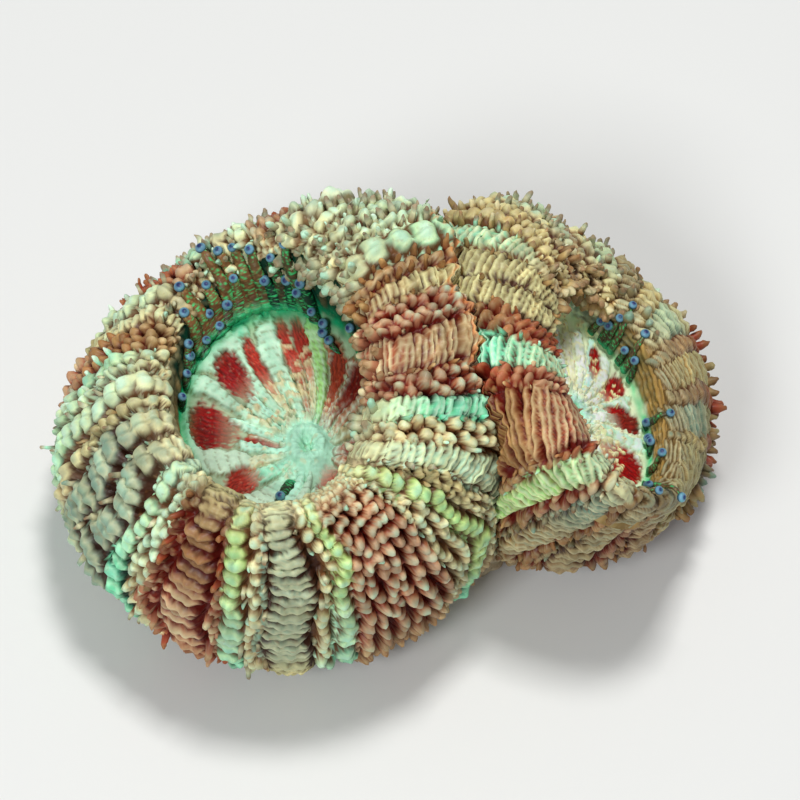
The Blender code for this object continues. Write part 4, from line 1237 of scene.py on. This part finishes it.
def makeFoot(name, settings):
    # the stub of skeleton: ribbed and toothed round its side, cut off flat underneath
    piece = addSphere(name, settings["columns"], settings["rings"])
    points = meshPoints(piece)
    angle = np.arctan2(points[:, 1], points[:, 0])
    step = (np.degrees(np.arcsin(np.clip(points[:, 2], -1, 1))) + 90) / 180
    # from the middle of the cut face out, up the side, and back in over the top
    sideFrom, sideTo = settings["side"]
    out = np.clip(step / sideFrom, 0, 1) - np.clip((step - sideTo) / (1 - sideTo), 0, 1) * 0.999
    up = np.clip((step - sideFrom) / (sideTo - sideFrom), 0, 1)
    onFace = step < sideFrom - 0.02
    onSide = (~onFace & (step < sideTo + 0.02)).astype(float)
    ribs = settings["ribs"]
    rib = np.abs(np.sin(angle * ribs / 2)) ** 0.6
    lesser = np.abs(np.sin(angle * ribs + 0.6)) ** 0.8
    teeth = 0.5 + 0.5 * np.sin(up * settings["teeth"] * fullTurn + 2.2 * np.sin(angle * 7))
    rough = np.stack([np.cos(angle) * 14, np.sin(angle) * 9, up * 5], axis=-1)
    inset = settings["ribDepth"] * (1 - rib) + settings["lesserDepth"] * (1 - lesser)
    inset = inset + settings["toothDepth"] * (1 - teeth) * rib * onSide
    inset = inset + settings["roughDepth"] * (1 + waves(rough, 2.1, 2.0))
    taper = 1 - settings["taper"] * up
    reach = np.array(settings["radii"]) * taper[:, None] - (inset * (out > 0.9))[:, None]
    x, y = out * reach[:, 0] * np.cos(angle), out * reach[:, 1] * np.sin(angle)
    # on the cut face the thin walls between the pores stand flush, the spaces lie a little deeper
    wall = np.abs(np.sin(angle * ribs / 2)) ** 0.5
    cross = np.abs(np.sin(np.hypot(x, y * 1.5) * 2.3 + 0.7 * np.sin(angle * 9)))
    pores = smoothStep(0.5, 0.9, wall) * smoothStep(0.25, 0.6, cross)
    pores = pores * onFace * (step > 0.02)
    z = up * settings["height"] + settings["poreDepth"] * pores
    cos, sin = math.cos(math.radians(settings["turn"])), math.sin(math.radians(settings["turn"]))
    placePoints(piece, np.stack([cos * x - sin * y, sin * x + cos * y, z], axis=-1) * mm + footCentre)
    # painted shade in the hollows: the pores, the grooves between the ribs and the notches between the teeth
    # take the stain tone, darkened
    hollow = np.clip(pores + ((1 - rib) * 0.9 + (1 - teeth) * 0.35) * onSide, 0, 1)
    colour = laidOver(paint["bone"], paint["stain"] * 0.6, hollow * 0.75)
    stain = smoothStep(0.0, 0.7, waves(rough, 6.0, 5.0)) * onSide * 0.6
    paintPoints(piece, laidOver(colour, paint["stain"], stain))
    smoothAndFace(piece)
    return piece


footSettings = {
    "columns": 408, "rings": 84, "radii": (14.4, 9.0), "height": 4.8, "turn": 12.0, "taper": 0.1,
    "side": (0.42, 0.86),  # between which shares of the way from the cut face to the top the side lies
    "ribs": 34, "teeth": 7, "ribDepth": 0.45, "lesserDepth": 0.16, "toothDepth": 0.20,
    "roughDepth": 0.14, "poreDepth": 0.12,
}
cutFoot = makeFoot("cutFoot", footSettings)
print("foot done")


def newMaterial(name):
    made = bpy.data.materials.new(name)
    made.use_nodes = True
    tree = made.node_tree
    return made, tree, tree.nodes["Principled BSDF"]


def addNode(tree, kind, **values):
    node = tree.nodes.new(kind)
    for key, value in values.items():
        setattr(node, key, value)
    return node


def addNoise(tree, where, scale, detail):
    noise = addNode(tree, "ShaderNodeTexNoise")
    noise.inputs["Scale"].default_value = scale
    noise.inputs["Detail"].default_value = detail
    tree.links.new(where.outputs["Object"], noise.inputs["Vector"])
    return noise.outputs["Fac"]


def addRange(tree, value, taken, given):
    # from one range of values to another
    mapped = addNode(tree, "ShaderNodeMapRange")
    for name, number in zip(("From Min", "From Max", "To Min", "To Max"), (*taken, *given)):
        mapped.inputs[name].default_value = number
    tree.links.new(value, mapped.inputs["Value"])
    return mapped.outputs["Result"]


roughSpread = 0.08


def fleshMaterial(name, settings):
    # the painted tones, mottled and speckled, on soft, moist flesh
    made, tree, shader = newMaterial(name)
    link = tree.links.new
    tone = addNode(tree, "ShaderNodeVertexColor", layer_name="tone")
    where = addNode(tree, "ShaderNodeTexCoord")
    blotch = addNoise(tree, where, settings["blotchScale"], 4)
    grain = addNoise(tree, where, settings["grainScale"], 3)
    mottled = addNode(tree, "ShaderNodeVectorMath", operation="SCALE")
    link(tone.outputs["Color"], mottled.inputs[0])
    pale = addRange(tree, blotch, (0.35, 0.65), (1 - settings["blotch"], 1 + settings["blotch"]))
    link(pale, mottled.inputs["Scale"])
    mix = addNode(tree, "ShaderNodeMix", data_type="RGBA")
    mix.inputs["B"].default_value = (*paint[settings["speckTone"]], 1)
    link(addRange(tree, grain, (0.58, 0.72), (0, settings["speck"])), mix.inputs["Factor"])
    link(mottled.outputs["Vector"], mix.inputs["A"])
    link(mix.outputs["Result"], shader.inputs["Base Color"])
    bump = addNode(tree, "ShaderNodeBump")
    bump.inputs["Strength"].default_value = settings["bump"]
    bump.inputs["Distance"].default_value = settings["bumpDepth"] * mm
    link(grain, bump.inputs["Height"])
    link(bump.outputs["Normal"], shader.inputs["Normal"])
    rough = (settings["rough"] - roughSpread, settings["rough"] + roughSpread)
    link(addRange(tree, blotch, (0, 1), rough), shader.inputs["Roughness"])
    shader.inputs["Subsurface Weight"].default_value = settings["soft"]
    shader.inputs["Subsurface Radius"].default_value = (1.0, 0.7, 0.5)
    shader.inputs["Subsurface Scale"].default_value = settings["softDepth"] * mm
    shader.inputs["Specular IOR Level"].default_value = settings["gloss"]
    shader.inputs["Coat Weight"].default_value = settings["wet"]
    shader.inputs["Coat Roughness"].default_value = 0.25
    return made


mantleSurface = {
    "blotchScale": 480, "blotch": 0.14, "grainScale": 2600, "speck": 0.25, "speckTone": "brown",
    "bump": 0.35, "bumpDepth": 0.12, "rough": 0.5,
    "soft": 0.08, "softDepth": 0.35, "wet": 0.08, "gloss": 0.25,
}
discSurface = {
    "blotchScale": 700, "blotch": 0.14, "grainScale": 3200, "speck": 0.10, "speckTone": "cream",
    "bump": 0.4, "bumpDepth": 0.1, "rough": 0.62,
    "soft": 0.05, "softDepth": 0.25, "wet": 0.02, "gloss": 0.15,
}
tentacleSurface = {
    "blotchScale": 900, "blotch": 0.2, "grainScale": 2800, "speck": 0.35, "speckTone": "greenMint",
    "bump": 0.6, "bumpDepth": 0.15, "rough": 0.4,
    "soft": 0.05, "softDepth": 0.3, "wet": 0.15, "gloss": 0.25,
}
boneSurface = {
    "blotchScale": 300, "blotch": 0.16, "grainScale": 1800, "speck": 0.5, "speckTone": "stain",
    "bump": 0.8, "bumpDepth": 0.25, "rough": 0.78,
    "soft": 0.0, "softDepth": 0.3, "wet": 0.0, "gloss": 0.3,
}
mantleFinish = fleshMaterial("mantleFlesh", mantleSurface)
discFinish = fleshMaterial("discFlesh", discSurface)
tentacleFinish = fleshMaterial("tentacleFlesh", tentacleSurface)
boneFinish = fleshMaterial("cutSkeleton", boneSurface)
for piece, finish, node in (
    (largeMantle, mantleFinish, "large_polyp"), (smallMantle, mantleFinish, "small_polyp"),
    (largeFingers, mantleFinish, "large_polyp"), (smallFingers, mantleFinish, "small_polyp"),
    (largeDisc, discFinish, "large_polyp"), (smallDisc, discFinish, "small_polyp"),
    (largeTentacles, tentacleFinish, "large_polyp"), (smallTentacles, tentacleFinish, "small_polyp"),
    (cutFoot, boneFinish, "skeleton_foot"),
):
    piece.data.materials.clear()
    piece.data.materials.append(finish)
    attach(piece, "root")
    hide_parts(node)
print("finishes done")

# a plain pale floor, soft studio light and the camera
deselectAll()
bpy.ops.mesh.primitive_plane_add(size=1.6, location=(0, 0.2, 0))
floor = bpy.context.active_object
floor.name = "floor"
floorMade, _, floorShader = newMaterial("paleFloor")
floorShader.inputs["Base Color"].default_value = (0.80, 0.80, 0.79, 1)
floorShader.inputs["Roughness"].default_value = 0.9
floor.data.materials.append(floorMade)

world = bpy.data.worlds.new("studio")
bpy.context.scene.world = world
world.use_nodes = True
background = world.node_tree.nodes["Background"]
background.inputs["Color"].default_value = (0.95, 0.97, 1.0, 1)
background.inputs["Strength"].default_value = 0.22


def addLamp(name, location, size, power, colour):
    deselectAll()
    bpy.ops.object.light_add(type="AREA", location=location)
    lamp = bpy.context.active_object
    lamp.name = name
    lamp.data.size = size
    lamp.data.energy = power
    lamp.data.color = colour
    lamp.rotation_euler = (Vector((0, 0, 0.01)) - Vector(location)).to_track_quat("-Z", "Y").to_euler()
    return lamp


lamps = {
    "key": ((0.04, 0.07, 0.42), 0.08, 1.05, (1.0, 1.0, 0.98)),
    "front": ((-0.16, -0.30, 0.34), 0.14, 1.07, (0.98, 1.0, 1.0)),
}
for name, (location, size, power, colour) in lamps.items():
    addLamp(name, location, size, power, colour)

view = {"target": (0.66 * mm, 0.0, 14.3 * mm), "distance": 0.30, "elevation": 55.0, "lens": 203.9}
rise = math.radians(view["elevation"])
cameraData = bpy.data.cameras.new("camera")
camera = bpy.data.objects.new("camera", cameraData)
bpy.context.collection.objects.link(camera)
camera.location = (view["target"][0], -view["distance"] * math.cos(rise),
                   view["target"][2] + view["distance"] * math.sin(rise))
camera.rotation_euler = (math.radians(90 - view["elevation"]), 0, 0)
cameraData.lens = view["lens"]
cameraData.sensor_width = 36
cameraData.clip_start = 0.01
bpy.context.scene.camera = camera
bpy.context.scene.view_settings.view_transform = "Standard"

print("scene ready")
